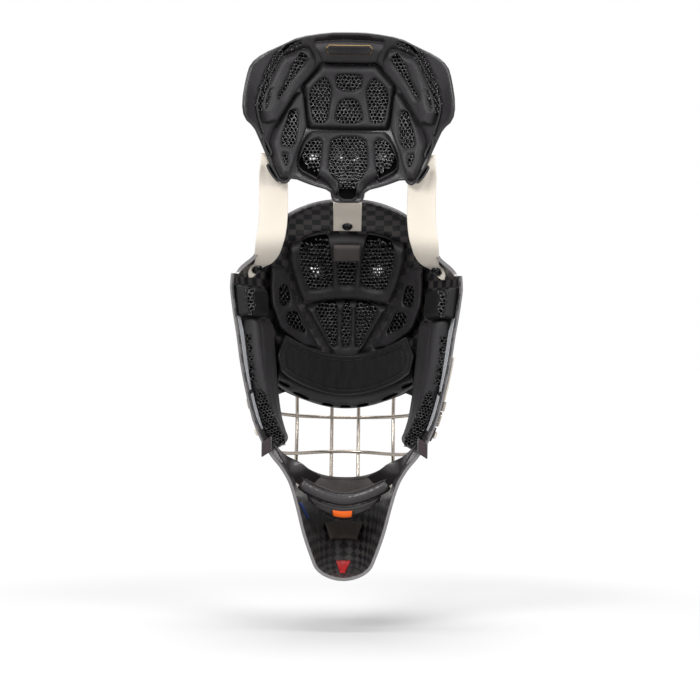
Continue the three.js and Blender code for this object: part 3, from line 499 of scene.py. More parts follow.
    def at_x(self, x: Array, z: Array, depth: Array) -> Array:
        """Points of a layer of the shell at given x and z."""
        x, z, depth = spread(x, z, depth)
        return self.skin(z, self.turn_at_x(x, z, depth), depth)

    def at_y(self, side: float, y: Array, z: Array, depth: Array) -> Array:
        """Points of a layer of one side wall at given y and z."""
        y, z, depth = spread(y, z, depth)
        turn = bisected(y.shape, 0, 1, lambda turn: self.skin(z, turn, depth)[..., 1] > y)
        return self.skin(z, side * turn, depth)


@dataclass(frozen=True)
class PlateForm:
    """Dished sheet of the back plate."""

    edge_y: float = -100.0
    depth: float = 62.0
    wall: float = 3.2
    wing_z: float = 238.0
    spread_x: float = 112.0
    spread_z: float = 96.0

    def y(self, x: Array, z: Array) -> Array:
        """Depth of the sheet's outer face."""
        across = np.maximum(0, 1 - (np.abs(x) / self.spread_x) ** 2.3)
        up = np.maximum(0, 1 - (np.abs(z - self.wing_z) / self.spread_z) ** 2.4)
        return self.edge_y + self.depth * across * up

    def point(self, x: Array, z: Array, depth: Array) -> Array:
        """Points at a depth towards the neck from the outer face."""
        x, z, depth = spread(x, z, depth)
        step = 1.5
        slope_x = (self.y(x + step, z) - self.y(x - step, z)) / (2 * step)
        slope_z = (self.y(x, z + step) - self.y(x, z - step)) / (2 * step)
        normal = unit(np.stack([slope_x, -np.ones_like(slope_x), slope_z], axis=-1))
        return np.stack([x, self.y(x, z), z], axis=-1) + normal * depth[..., None]


SHELL = ShellForm()
PLATE = PlateForm()


class Graph:
    """Nodes of one material or world, with short ways to add them and to feed their inputs."""

    def __init__(self, owner: Material | bpy.types.World) -> None:
        """Turns the owner's nodes on."""
        owner.use_nodes = True
        self.tree = owner.node_tree

    def feed(self, node: Node, inputs: dict) -> None:
        """Gives each input of a node, by name or number, its value or the socket that it is linked to."""
        for key, value in inputs.items():
            if isinstance(value, Socket):
                self.tree.links.new(value, node.inputs[key])
            else:
                node.inputs[key].default_value = value

    def add(self, kind: str, inputs: dict | None = None, **settings: str) -> Node:
        """Adds a node.

        Args:
            kind: its type, without the words before it.
            inputs: values and sockets for its inputs.
            settings: its own settings.

        Returns:
            The node.
        """
        node = self.tree.nodes.new(f"ShaderNode{kind}")
        for key, value in settings.items():
            setattr(node, key, value)
        self.feed(node, inputs or {})
        return node


class Weave(Enum):
    """Surface pattern of a finish."""

    NONE = "none"
    CHECKER = "spread tow checker"
    TWILL = "ribbed twill"
    WEBBING = "woven elastic"


@dataclass(frozen=True)
class Finish:
    """A finish with its colour, gloss, mottling, grain and weave."""

    name: str
    color: str
    rough: float
    metal: float = 0.0
    gloss: float = 0.5
    coat: float = 0.0
    coat_rough: float = 0.06
    sheen: float = 0.0
    second: str = ""
    mottle_mm: float = 12.0
    mottle: float = 0.25
    grain_mm: float = 0.6
    grain: float = 0.15
    weave: Weave = Weave.NONE
    pitch_mm: float = 9.5

    def build(self) -> Material:
        """Makes the material.

        Returns:
            The material.
        """
        material = bpy.data.materials.new(self.name)
        graph = Graph(material)
        place = graph.add("TexCoord").outputs["Object"]
        base, second = rgba(self.color), rgba(self.second or self.color)
        if not self.second:
            second = tuple(min(1, c * 1.7 + 0.004) for c in base[:3]) + (1,)
        spots = self.noise(graph, place, self.mottle_mm, 5)
        if self.weave is Weave.CHECKER:
            color, height = self.checker(graph, base, second)
        else:
            ramp = graph.add("ValToRGB", {"Fac": spots})
            mixed = tuple(mix(a, b, self.mottle) for a, b in zip(base, second))
            for stop, position, shade in zip(ramp.color_ramp.elements, (0.36, 0.68), (base, mixed)):
                stop.position, stop.color = position, shade
            color = ramp.outputs["Color"]
            if self.weave is Weave.NONE:
                height = self.noise(graph, place, self.grain_mm, 3)
            else:
                color, height = self.woven(graph, color, base)
        bump = graph.add("Bump", {"Strength": self.grain, "Distance": BUMP_M, "Height": height})
        wear = graph.add("MapRange", {"To Min": max(self.rough - 0.07, 0.03),
                                      "To Max": min(self.rough + 0.1, 1), "Value": spots})
        graph.feed(graph.tree.nodes["Principled BSDF"], {
            "Metallic": self.metal, "Specular IOR Level": self.gloss, "Coat Weight": self.coat,
            "Coat Roughness": self.coat_rough, "Sheen Weight": self.sheen, "Sheen Roughness": 0.4,
            "Normal": bump.outputs["Normal"], "Base Color": color, "Roughness": wear.outputs["Result"]})
        return material

    @staticmethod
    def noise(graph: Graph, place: Socket, size_mm: float, detail: float) -> Socket:
        """Noise whose features have a size in millimetres."""
        return graph.add("TexNoise", {"Scale": 1 / (size_mm * MM), "Detail": detail,
                                      "Vector": place}).outputs["Fac"]

    @staticmethod
    def waves(graph: Graph, direction: str, pitch: float, distortion: float) -> Socket:
        """Threads along the cloth, a pitch in millimetres apart.

        Args:
            graph: the material's nodes.
            direction: axis across the threads.
            pitch: their distance.
            distortion: how unevenly they run.

        Returns:
            The socket of their height.
        """
        cloth = graph.add("UVMap", uv_map="cloth").outputs["UV"]
        inputs = {"Scale": math.pi * 0.1 / pitch, "Distortion": distortion, "Vector": cloth}
        return graph.add("TexWave", inputs, bands_direction=direction).outputs["Fac"]

    def checker(self, graph: Graph, base: tuple, second: tuple) -> tuple:
        """Flat tows that cross in squares, one way in a lighter colour that is painted sheen.

        Args:
            graph: the material's nodes.
            base: colour of the tows one way.
            second: lighter colour of the tows the other way, painted sheen for their direction-dependent
                reflection.

        Returns:
            The sockets of the colour and of the height.
        """
        cloth = graph.add("UVMap", uv_map="cloth").outputs["UV"]
        squares = graph.add("TexChecker", {"Scale": 1 / self.pitch_mm, "Vector": cloth}).outputs["Fac"]
        # The checker is the real weave; the lighter squares are painted sheen in place of the tows'
        # direction-dependent reflection.
        blend = graph.add("Mix", {0: squares, 6: base, 7: second}, data_type="RGBA")
        threads = [self.waves(graph, way, 0.8, 1.5) for way in "XY"]
        height = graph.add("Mix", {0: squares, 2: threads[0], 3: threads[1]}, data_type="FLOAT")
        return blend.outputs[2], height.outputs[0]

    def woven(self, graph: Graph, color: Socket, base: tuple) -> tuple:
        """Ribbed twill or woven elastic, with painted shade darkening the grooves between its threads.

        Args:
            graph: the material's nodes.
            color: mottled colour of the threads.
            base: the finish's colour.

        Returns:
            The sockets of the colour and of the height.
        """
        if self.weave is Weave.TWILL:
            height, dark = self.waves(graph, "DIAGONAL", self.pitch_mm, 0.4), 0.55
        else:
            threads = {0: self.waves(graph, "X", self.pitch_mm, 0.5),
                       1: self.waves(graph, "Y", self.pitch_mm * 0.8, 0.8)}
            height, dark = graph.add("Math", threads, operation="MULTIPLY").outputs[0], 0.8
        # The low parts of the weave get a darker colour: painted shade in the grooves between threads.
        lift = graph.add("MapRange", {"To Min": 0.35, "Value": height}).outputs["Result"]
        between = tuple(c * dark for c in base[:3]) + (1,)
        return graph.add("Mix", {0: lift, 6: between, 7: color}, data_type="RGBA").outputs[2], height


def rgba(code: str) -> tuple:
    """Scene-linear colour of a hexadecimal code."""
    parts = [int(code[i:i + 2], 16) / 255 for i in (1, 3, 5)]
    return tuple(c / 12.92 if c <= 0.04045 else ((c + 0.055) / 1.055) ** 2.4 for c in parts) + (1.0,)


# Both tow ways are the same black fibre; the lighter second colour is painted sheen for the way that catches
# the light.
CARBON = Finish("carbon_checker", "#1a1b1f", 0.42, coat=0.35, coat_rough=0.2, second="#4a4645", grain=0.3,
                weave=Weave.CHECKER).build()
RIM = Finish("bare_edge", "#757273", 0.3, coat=0.6, grain=0.08, mottle_mm=5).build()
OUTSIDE = Finish("pale_lacquer", "#dcdce0", 0.25, coat=0.7, mottle=0.03, grain=0.04).build()
STEEL = Finish("stainless_wire", "#a59d94", 0.2, metal=1.0, grain=0.08, mottle_mm=3).build()
BLACK_STEEL = Finish("blackened_steel", "#17181a", 0.32, metal=0.7, coat=0.3, mottle_mm=2).build()
PLASTIC = Finish("satin_plastic", "#232023", 0.34, gloss=0.4, coat=0.2, grain_mm=0.9, grain=0.12).build()
FOAM = Finish("closed_cell_foam", "#2b292b", 0.5, gloss=0.34, sheen=0.05, grain_mm=1.1, grain=0.45).build()
LATTICE = Finish("printed_lattice", "#1c1b1d", 0.26, coat=0.5, mottle_mm=3, grain=0.1).build()
EAR_FOAM = Finish("dark_foam", "#121113", 0.55, gloss=0.26, sheen=0.04, grain_mm=1.1, grain=0.4).build()
TAB_FOAM = Finish("grey_foam", "#47413e", 0.7, sheen=0.1, grain_mm=0.9, grain=0.25).build()
# Near-black finish for the sunk window floors and the sheets on the pads' rear sides: painted shade for the
# dark of those recesses.
SHADE_BLACK = Finish("painted_shade_black", "#050405", 0.9, gloss=0.04, grain=0.2).build()
PIPING = Finish("dark_piping", "#121112", 0.5, sheen=0.2, mottle_mm=2).build()
TWILL = Finish("sweatband_twill", "#1b191b", 0.8, gloss=0.3, sheen=0.1, grain=0.5, weave=Weave.TWILL,
               pitch_mm=1.6).build()
LEATHER = Finish("grained_leather", "#242021", 0.42, coat=0.22, grain_mm=1.3, grain=0.4, mottle_mm=5).build()
# The grey tab foam made lighter for the chin tab to offset the shade there: painted light.
LIT_TAB_FOAM = Finish("chin_tab_foam_lit", "#625b56", 0.75, gloss=0.3, sheen=0.1, grain_mm=0.9, grain=0.35).build()
BUFFED = Finish("buffed_leather", "#453f3e", 0.42, coat=0.2, coat_rough=0.3, grain_mm=1.3, grain=0.4,
                mottle_mm=5).build()
CREAM = Finish("cream_elastic", "#fbf1e2", 0.85, sheen=0.3, grain=0.25, weave=Weave.WEBBING, pitch_mm=1.0,
               mottle=0.1).build()
DARK_WEB = Finish("brown_webbing", "#3a2f33", 0.85, sheen=0.4, grain=0.4, weave=Weave.WEBBING,
                  pitch_mm=1.6).build()
ORANGE = Finish("orange_tag", "#ff6a10", 0.6, grain=0.2, mottle=0.1).build()
RED = Finish("red_vinyl", "#ee1c23", 0.35, coat=0.3, grain=0.04, mottle=0.08).build()
BLUE = Finish("blue_vinyl", "#2f4f9c", 0.4, coat=0.3, grain=0.04, mottle=0.1).build()
SILVER = Finish("silver_film", "#eceef4", 0.3, coat=0.3, grain=0.05, mottle_mm=4).build()
GOLD = Finish("gold_metal", "#a98a5c", 0.35, metal=0.8).build()


@dataclass
class Studio:
    """Camera, pale floor, white surroundings and soft lamps."""

    distance_m: float = 2.0
    frame_m: float = 0.7
    rim_y_m: float = -0.09
    camera_x_m: float = 0.0043
    roll: float = 0.0122
    floor_z_m: float = -0.286
    floor_half_m: float = 30.0
    aim_m: tuple = (0, -0.05, 0.03)
    floor_glow: float = 0.05
    floor_tone: float = 0.71
    plain: float = 0.42
    fade_m: tuple = (0.32, 0.6)
    lamps: tuple = (((-0.9, -1.6, 1.0), 0.8, 21.0), ((1.2, -1.3, 0.5), 0.6, 11.0),
                    ((0.0, 0.05, 1.6), 1.3, 25.0))

    def build(self) -> None:
        """Sets up the view, floor, world and lamps."""
        scene = bpy.context.scene
        scene.view_settings.view_transform = "Standard"
        lens = bpy.data.cameras.new("camera")
        lens.sensor_width = 36.0
        lens.lens = lens.sensor_width * self.distance_m / self.frame_m
        lens.clip_end = 60
        camera = bpy.data.objects.new("camera", lens)
        camera.location = (self.camera_x_m, self.rim_y_m - self.distance_m, 0)
        camera.rotation_euler = (math.pi / 2, -self.roll, 0)
        scene.collection.objects.link(camera)
        scene.camera = camera
        self.surroundings()
        for place, size, watts in self.lamps:
            lamp = bpy.data.lights.new("softbox", "AREA")
            lamp.shape, lamp.size, lamp.energy = "DISK", size, watts
            holder = bpy.data.objects.new("softbox", lamp)
            holder.location = place
            aim = Vector(self.aim_m) - Vector(place)
            holder.rotation_euler = aim.to_track_quat("-Z", "Y").to_euler()
            scene.collection.objects.link(holder)
        log.info("studio set")

    def surroundings(self) -> None:
        """Floor that keeps the shadow and a world that the eye and gloss see as white."""
        world = bpy.context.scene.world or bpy.data.worlds.new("world")
        bpy.context.scene.world = world
        graph = Graph(world)
        graph.feed(graph.tree.nodes["Background"],
                   {"Color": (1, 1, 1, 1), "Strength": self.seen(graph, self.plain, 1.0)})
        corners = np.array([[-1, -1, 0], [1, -1, 0], [1, 1, 0], [-1, 1, 0]]) * self.floor_half_m / MM
        floor = mesh_object("floor", corners, [(0, 1, 2, 3)], self.floor_finish())
        floor.location = (0, 0, self.floor_z_m)

    def floor_finish(self) -> Material:
        """Pale matt floor near the mask that turns into plain white further off.

        Returns:
            The material.
        """
        material = bpy.data.materials.new("pale_floor")
        graph = Graph(material)
        shader = graph.tree.nodes["Principled BSDF"]
        graph.feed(shader, {
            "Base Color": (self.floor_tone, self.floor_tone, self.floor_tone, 1), "Roughness": 0.9,
            "Specular IOR Level": 0, "Emission Color": (1, 1, 1, 1),
            "Emission Strength": self.seen(graph, 0.0, self.floor_glow)})
        white = graph.add("Emission", {"Strength": self.seen(graph, 0.3, 1.02)})
        place = graph.add("TexCoord").outputs["Object"]
        length = graph.add("VectorMath", {0: place}, operation="LENGTH")
        near, off = self.fade_m
        far = graph.add("MapRange", {"From Min": near, "From Max": off, "Value": length.outputs["Value"]},
                        interpolation_type="SMOOTHSTEP")
        blend = graph.add("MixShader", {0: far.outputs["Result"], 1: shader.outputs["BSDF"],
                                        2: white.outputs["Emission"]})
        graph.feed(graph.tree.nodes["Material Output"], {"Surface": blend.outputs["Shader"]})
        return material

    @staticmethod
    def seen(graph: Graph, plain: float, white: float) -> Socket:
        """Strength that is white for camera, glossy and transmission rays, and plain for the rest."""
        rays = graph.add("LightPath").outputs
        either = rays["Is Camera Ray"]
        for ray in ("Is Glossy Ray", "Is Transmission Ray"):
            either = graph.add("Math", {0: either, 1: rays[ray]}, operation="MAXIMUM").outputs[0]
        return graph.add("MapRange", {"To Min": plain, "To Max": white, "Value": either}).outputs["Result"]


def reach_at(y: Array) -> Array:
    """How much further from the camera than the rim plane a depth lies, as a factor."""
    return (CAMERA_MM + y) / RIM_PLANE_MM


def traced(points: Sequence, place: Place, depth: float, middle: float = 347.0) -> Array:
    """Flat places on a wall that points of the 700-wide frame fall on.

    Args:
        points: pairs counted from the frame's top left corner.
        place: the wall, given by X and Z.
        depth: how far off the wall the points lie.
        middle: where the mask's middle lies across the frame at that height.

    Returns:
        The pairs of X and Z in millimetres.
    """
    pairs = (np.asarray(points, float) - (middle, FRAME_HALF)) * (1.0, -1.0)
    flat = pairs
    for _ in range(12):
        spot = place(*flat.T, depth)
        flat = flat + 0.7 * (pairs * reach_at(spot[:, 1:2]) - spot[:, ::2])
    return flat


def all_traced(outlines: Sequence, place: Place, depth: float, middle: float = 347.0) -> list:
    """Flat places of several outlines of the frame."""
    return [traced(outline, place, depth, middle) for outline in outlines]


def rounded(outline: Array, spacing: float, turns: int = 3) -> Array:
    """Closed outline with its corners cut round, resampled at an even spacing.

    Args:
        outline: its corners.
        spacing: distance between the new points.
        turns: how often the corners are cut.

    Returns:
        The points.
    """
    points = np.asarray(outline, float)
    for _ in range(turns):
        after = np.roll(points, -1, 0)
        points = np.stack([points * 0.75 + after * 0.25, points * 0.25 + after * 0.75], 1).reshape(-1, 2)
    ring = np.vstack([points, points[:1]])
    along = np.concatenate([[0], np.cumsum(np.linalg.norm(np.diff(ring, axis=0), axis=1))])
    wanted = np.linspace(0, along[-1], max(int(along[-1] / spacing), 12), endpoint=False)
    return np.column_stack([np.interp(wanted, along, ring[:, i]) for i in range(2)])


def inside(points: Array, outline: Array) -> Array:
    """Signed distance of points to a closed outline, above 0 inside it."""
    a, b = outline, np.roll(outline, -1, 0)
    best = np.full(len(points), 1e9)
    within = np.zeros(len(points), bool)
    for p, q in zip(a, b):
        edge = q - p
        t = np.clip(((points - p) @ edge) / max(edge @ edge, 1e-9), 0, 1)
        best = np.minimum(best, np.linalg.norm(points - p - t[:, None] * edge, axis=1))
        if p[1] != q[1]:
            cut = (p[1] > points[:, 1]) != (q[1] > points[:, 1])
            within ^= cut & (points[:, 0] < edge[0] * (points[:, 1] - p[1]) / edge[1] + p[0])
    return np.where(within, best, -best)


def inset(outline: Array, distance: float) -> Array:
    """Outline moved inward by a distance, without the points that fall too near its edge."""
    forward = unit(np.roll(outline, -1, 0) - np.roll(outline, 1, 0))
    inward = np.column_stack([-forward[:, 1], forward[:, 0]])
    area = np.sum(outline[:, 0] * np.roll(outline[:, 1], -1) - np.roll(outline[:, 0], -1) * outline[:, 1])
    moved = outline + inward * math.copysign(distance, area)
    depth = inside(moved, outline)
    return moved[np.abs(depth) > abs(distance) * 0.8]


def triangulated(loops: Sequence, extra: Sequence, holes: Sequence = ()) -> tuple:
    """Flat triangles inside closed loops.

    Args:
        loops: closed outlines, the outer one first.
        extra: groups of further points.
        holes: outlines that stay open.

    Returns:
        The flat points and the faces.
    """
    edges, points = [], []
    for loop in loops:
        start = len(points)
        points.extend(loop)
        edges += [(start + i, start + (i + 1) % len(loop)) for i in range(len(loop))]
    for group in extra:
        points.extend(group)
    cut = delaunay_2d_cdt([Vector(p) for p in points], edges, [], 1, 1e-4)
    flat, faces = np.array([tuple(p) for p in cut[0]]), [tuple(f) for f in cut[2]]
    if holes:
        middles = np.array([flat[list(f)].mean(0) for f in faces])
        open_faces = np.any([inside(middles, hole) > 0 for hole in holes], axis=0)
        faces = [f for f, is_open in zip(faces, open_faces) if not is_open]
    return flat, faces


def closed_sheet(name: str, front: Array, back: Array, faces: list, finish: Material,
                 uv: Array | None = None) -> Piece:
    """Closed body between two layers of the same triangles.

    Args:
        name: the piece's name.
        front: points of one layer.
        back: points of the other.
        faces: the triangles of a layer.
        finish: its material.
        uv: texture place of each point of a layer.

    Returns:
        The linked object.
    """
    count, uses = len(front), {}
    for face in faces:
        for i, a in enumerate(face):
            key = tuple(sorted((a, face[(i + 1) % len(face)])))
            uses[key] = uses.get(key, 0) + 1
    walls = [(a, b, b + count, a + count) for (a, b), used in uses.items() if used == 1]
    solid = faces + [tuple(i + count for i in reversed(f)) for f in faces] + walls
    both_uv = None if uv is None else np.vstack([uv, uv])
    return mesh_object(name, np.vstack([front, back]), solid, finish, both_uv)


def grid_in(outline: Array, pitch: float, margin: float) -> Array:
    """Staggered grid of points inside an outline, clear of its edge."""
    low, high = outline.min(0), outline.max(0)
    xs, ys = np.arange(low[0], high[0], pitch), np.arange(low[1], high[1], pitch * HEX_ROW)
    grid = np.array([(x + (k % 2) * pitch / 2, y) for k, y in enumerate(ys) for x in xs])
    return grid[inside(grid, outline) > margin]


def patch(name: str, outline: Array, place: Place, base: float, thickness: float,
          finish: Material, turns: int = 1) -> Piece:
    """Thin sheet with soft edges laid on a wall.

    Args:
        name: the piece's name.
        outline: its edge in the wall's flat coordinates.
        place: the wall.
        base: clearance to the wall.
        thickness: thickness of the sheet.
        finish: its material.
        turns: how much its corners are rounded.

    Returns:
        The linked object.
    """
    edge = rounded(outline, 0.8, turns)
    flat, faces = triangulated([edge], [inset(edge, 0.5), grid_in(edge, 1.8, 1.1)])
    drop = 0.4 * thickness * (1 - np.clip(inside(flat, edge) / 0.5, 0, 1)) ** 2
    front, back = place(*flat.T, base + thickness - drop), place(*flat.T, base)
    return closed_sheet(name, front, back, faces, finish, flat)


def lattice(name: str, body: str, window: Array, place: Place, lift: Callable, cell: float, seed: int,
            limit: Array | None = None, reach: float = 0.3) -> None:
    """Makes a lattice of uneven cells that fills one window, unless no cell fits.

    Args:
        name: the piece's name.
        body: the body that it rides on.
        window: outline of the window.
        place: the wall that it lies on.
        lift: height of its top at flat points.
        cell: mean size of a cell.
        seed: keeps the cells of each window apart.
        limit: outline that every cell stays within.
        reach: how far cells run on under the window's edge, in cells.
    """
    draw = np.random.default_rng(seed + 11)
    low, high = window.min(0) - cell, window.max(0) + cell
    shift = draw.uniform(0, cell, 2)
    corners: dict = {}
    points, faces = [], []

    def corner(x: float, y: float) -> tuple:
        """Key of a cell corner, which neighbours share and which is moved a little when first met."""
        key = (round(x / cell * 6), round(y / cell * 6))
        if key not in corners:
            corners[key] = np.array([x, y]) + draw.uniform(-0.22, 0.22, 2) * cell
        return key

    rows = int((high[1] - low[1]) / (cell * HEX_ROW)) + 2
    columns = int((high[0] - low[0]) / cell) + 2
    spots = np.array([low + shift - cell + np.array([(column + (row % 2) / 2) * cell, row * cell * HEX_ROW])
                      for row in range(rows) for column in range(columns)])
    keep = inside(spots, window) > -reach * cell
    if limit is not None:
        keep &= inside(spots, limit) > 0.75 * cell
    for centre in spots[keep]:
        keys = [corner(*(centre + cell / math.sqrt(3) * np.array([math.sin(a), math.cos(a)])))
                for a in np.arange(6) * math.pi / 3]
        hexagon = np.array([corners[k] for k in keys])
        ring = np.stack([hexagon, (hexagon + np.roll(hexagon, -1, 0)) / 2], 1).reshape(-1, 2)
        middle = ring.mean(0)
        radius = np.linalg.norm(ring - middle, axis=1)
        radius = np.minimum(radius, radius.mean() * 1.02)
        start, size = len(points), draw.uniform(0.6, 0.84)
        for scale, drop in ((0, 0.0), (size + 0.07, 0.3), (size, 1.0), (size + 0.07, 1.8), (0, 2.0)):
            loop = ring if scale == 0 else middle + unit(ring - middle) * (radius * scale)[:, None]
            points += [(x, y, drop) for x, y in loop]
        faces += grid_faces(5, 12, wrap=True, start=start)
    if points:
        flat, drops = np.array(points)[:, :2], np.array(points)[:, 2]
        piece = mesh_object(name, place(*flat.T, lift(flat) - drops), faces, LATTICE)
        weld(piece, 0.01, report=False)
        seat(piece, body, "foam")


def on_shell(x: Array, z: Array, depth: Array) -> Array:
    """Places on the inside of the shell at given x and z."""
    return SHELL.at_x(x, z, SHELL.wall + depth)


def on_plate(x: Array, z: Array, depth: Array) -> Array:
    """Places on the padded side of the back plate."""
    return PLATE.point(x, z, PLATE.wall + depth)


def on_wall(side: float) -> Place:
    """Places on the inside of one side wall, at given y and z."""
    return lambda y, z, depth: SHELL.at_y(side, y, z, SHELL.wall + depth)


@dataclass(frozen=True)
class Padding:
    """Foam pad with rounded edges and windows of open lattice, drawn flat and laid on a wall.

    The outline comes from rows of height and left and right edges, as in the solids.
    """

    node: str
    rows: tuple
    place: Place = on_shell
    body: str = "shell"
    thickness: float = 13.0
    brim: float = 4.0
    edge: float = 6.0
    top_bow: float = 0.0
    end_bow: float = 0.0
    base: float = 0.4
    windows: tuple = ()
    cell: float = 4.3
    lip: float = 2.6
    pitch: float = 1.7
    rounding: int = 3
    fill: float = 0.85
    slot: str = "foam"
    finish: Material | None = None
    puckers: float = 0.0
    ridge: bool = False
    web: bool = True
    vents: tuple = ()
    floor_height: float = 0.8

    @property
    def name(self) -> str:
        """Name of the foam, from its node and slot."""
        return f"{self.node}.{self.slot}"

    def outline(self) -> Array:
        """Edge of the pad in the wall's own flat coordinates."""
        v = np.linspace(0, 1, 13)
        spot = v * (len(self.rows) - 1)
        rows = np.array(self.rows, float)
        height, left, right = (np.interp(spot, range(len(rows)), column) for column in rows.T)
        u = np.linspace(0, 1, 17)
        arch = 1 - (2 * u - 1) ** 2
        top = np.column_stack([mix(left[0], right[0], u), height[0] + arch * self.top_bow])
        end = np.column_stack([mix(left[-1], right[-1], u), height[-1] + arch * self.end_bow])
        down = np.column_stack([right, height])[1:-1]
        back = np.column_stack([left, height])[1:-1]
        return rounded(np.vstack([top, down, end[::-1], back[::-1]]), self.pitch * 0.8, self.rounding)

    def height(self, points: Array, outline: Array, windows: Sequence) -> Array:
        """Height of the foam at flat points: a domed edge, a gentle crown and sunk windows.

        Args:
            points: the flat points.
            outline: edge of the pad.
            windows: outlines of its windows.

        Returns:
            The heights.
        """
        depth = np.maximum(inside(points, outline), 0)
        dome = np.sqrt(1 - (1 - np.clip(depth / self.edge, 0, 1)) ** 2)
        crown = 0.92 + 0.08 * smooth(depth, self.edge, 4 * self.edge)
        height = self.brim + (self.thickness * crown - self.brim) * dome
        if self.puckers:
            x, z = points[:, 0], points[:, 1]
            folds = np.sin(x * 0.42 + 1.3 * np.sin(z * 0.11)) + 0.6 * np.sin(x * 0.93 + z * 0.06 + 1.7)
            stitch = smooth(np.abs(depth - 7.0), 0.1, 1.4)
            height = height + self.puckers * (folds * 0.5 * smooth(depth, 2, 9) - 1.3 * (1 - stitch))
        if self.ridge:
            middle = (outline[:, 0].max() + outline[:, 0].min()) / 2 - 14
            groove = 1 - smooth(np.abs(points[:, 0] - middle), 0.3, 2.2)
            height = height - 2.2 * groove * smooth(depth, 2, 8)
        for window in windows:
            away = -inside(points, window)
            rim = height * 0.85
            shoulder = rim + (height - rim) * np.sqrt(1 - (1 - np.clip(away / self.lip, 0, 1)) ** 2)
            height = np.where(away < -0.3, self.floor_height, shoulder)
        return height

    def build(self) -> None:
        """Makes the foam and the lattice in its windows."""
        outline = self.outline()
        windows = [rounded(w, 1.0, 1) for w in self.windows]
        rings = [inset(outline, d) for d in (0.5, 1.3, 2.5, 4.2)]
        rings += [inset(w, d) for w in windows for d in (-0.7, -1.7)]
        grid = grid_in(outline, self.pitch, 5)
        keep = np.ones(len(grid), bool)
        for window in windows:
            away = inside(grid, window)
            keep &= (away < -2.4) | (away > 1.2)
        for vent in self.vents:
            keep &= inside(grid, vent) < -0.6
        loops = [outline] + windows + [inset(w, 0.45) for w in windows] + list(self.vents)
        flat, faces = triangulated(loops, rings + [grid[keep]], self.vents)
        height = self.height(flat, outline, windows)
        front, back = self.place(*flat.T, self.base + height), self.place(*flat.T, self.base)
        foam = closed_sheet(self.name, front, back, faces, self.finish or FOAM, flat)
        # The sunk window floors take the near-black finish: painted shade at the bottom of each window.
        foam.data.materials.append(SHADE_BLACK)
        sunk = height < self.floor_height + 0.2
        for polygon in foam.data.polygons:
            if all(i < len(flat) and sunk[i] for i in polygon.vertices):
                polygon.material_index = 1
        seat(foam, self.body, self.slot, self.node)
        for k, window in enumerate(windows if self.web else ()):
            for letter, share, reach in (("a", 0.72, 0.75), ("b", 0.4, 1.5)):
                lattice(f"{self.name}.lattice{k + 1}{letter}", self.body, window, self.place,
                        lambda p, s=share: self.base + self.height(p, outline, ()) * s, self.cell,
                        7 * k + "ab".index(letter), outline, reach)


def on_rear(side: float, pad: Padding) -> Place:
    """Places on the rounded rear side of a wall pad, at a distance off the wall and a height.

    Args:
        side: -1 for the left wall, 1 for the right.
        pad: the pad, whose rows give its rear edge.

    Returns:
        The place, whose depth runs backwards out of the foam.
    """
    table = np.array(sorted(pad.rows))

    def place(off: Array, z: Array, depth: Array) -> Array:
        """Points on the rear side."""
        off, z, depth = spread(off, z, depth)
        share = np.clip((off - pad.brim) / (pad.thickness - pad.brim), 0, 0.98)
        rear = np.interp(z, table[:, 0], table[:, 1]) + pad.edge * (1 - np.sqrt(1 - share ** 2))
        spot = SHELL.at_y(side, rear, z, SHELL.wall + pad.base + off)
        return spot - np.stack([0 * depth, depth, 0 * depth], -1)

    return place


def traced_rear(points: Sequence, place: Place, middle: float = 345.5) -> Array:
    """Distances off the left wall and heights on a pad's rear side that points of the frame fall on."""
    pairs = np.asarray(points, float)
    wanted, up = middle - pairs[:, 0], FRAME_HALF - pairs[:, 1]
    z, low, high = up, np.zeros(len(pairs)), np.full(len(pairs), 16.0)
    for _ in range(20):
        off = (low + high) / 2
        spot = place(off, z, 0.0)
        reach = reach_at(spot[:, 1])
        outer = -spot[:, 0] / reach > wanted
        low, high = np.where(outer, off, low), np.where(outer, high, off)
        z = z + up * reach - spot[:, 2]
    return np.column_stack([(low + high) / 2, z])


def shell_rows(shares: Sequence) -> tuple:
    """Rows of a pad from shares of the crown's height and half-width."""
    return tuple((z * SHELL.crown_z, left * SHELL.crown_half, right * SHELL.crown_half)
                 for z, left, right in shares)


def wall_rows(shares: Sequence) -> tuple:
    """Rows of a pad on a side wall from shares of the crown's height and of the depth from rim to brow."""
    deep = SHELL.brow_y - SHELL.rim_y
    return tuple((z * SHELL.crown_z, SHELL.rim_y + a * deep, SHELL.rim_y + b * deep) for z, a, b in shares)


def plate_rows(shares: Sequence) -> tuple:
    """Rows of a pad on the back plate from shares of its height and half-width."""
    return tuple((mix(PLATE_LOW, PLATE_HIGH, z), left * PLATE_HALF, right * PLATE_HALF)
                 for z, left, right in shares)


def both(shares: Sequence) -> tuple:
    """Rows of a pad that reaches as far left as right."""
    return tuple((z, -half, half) for z, half in shares)


def on_side(shares: Sequence, side: float) -> tuple:
    """Rows of a pad on one side, given for the right."""
    return tuple((z, -b, -a) if side < 0 else (z, a, b) for z, a, b in shares)


def on_both(windows: Sequence) -> tuple:
    """Windows of the left half together with their mirror images."""
    return tuple(windows) + tuple(w * (-1, 1) for w in windows)


def facing(windows: Sequence, side: float) -> tuple:
    """Windows of the left side, mirrored for the right."""
    return tuple(w * (1 if side < 0 else -1, 1) for w in windows)


def disc(x: float, z: float, radius: float, sides: int = 32) -> Array:
    """Round outline about a flat place."""
    angle = np.linspace(0, 2 * math.pi, sides, endpoint=False)
    return np.column_stack([x + radius * np.cos(angle), z + radius * np.sin(angle)])


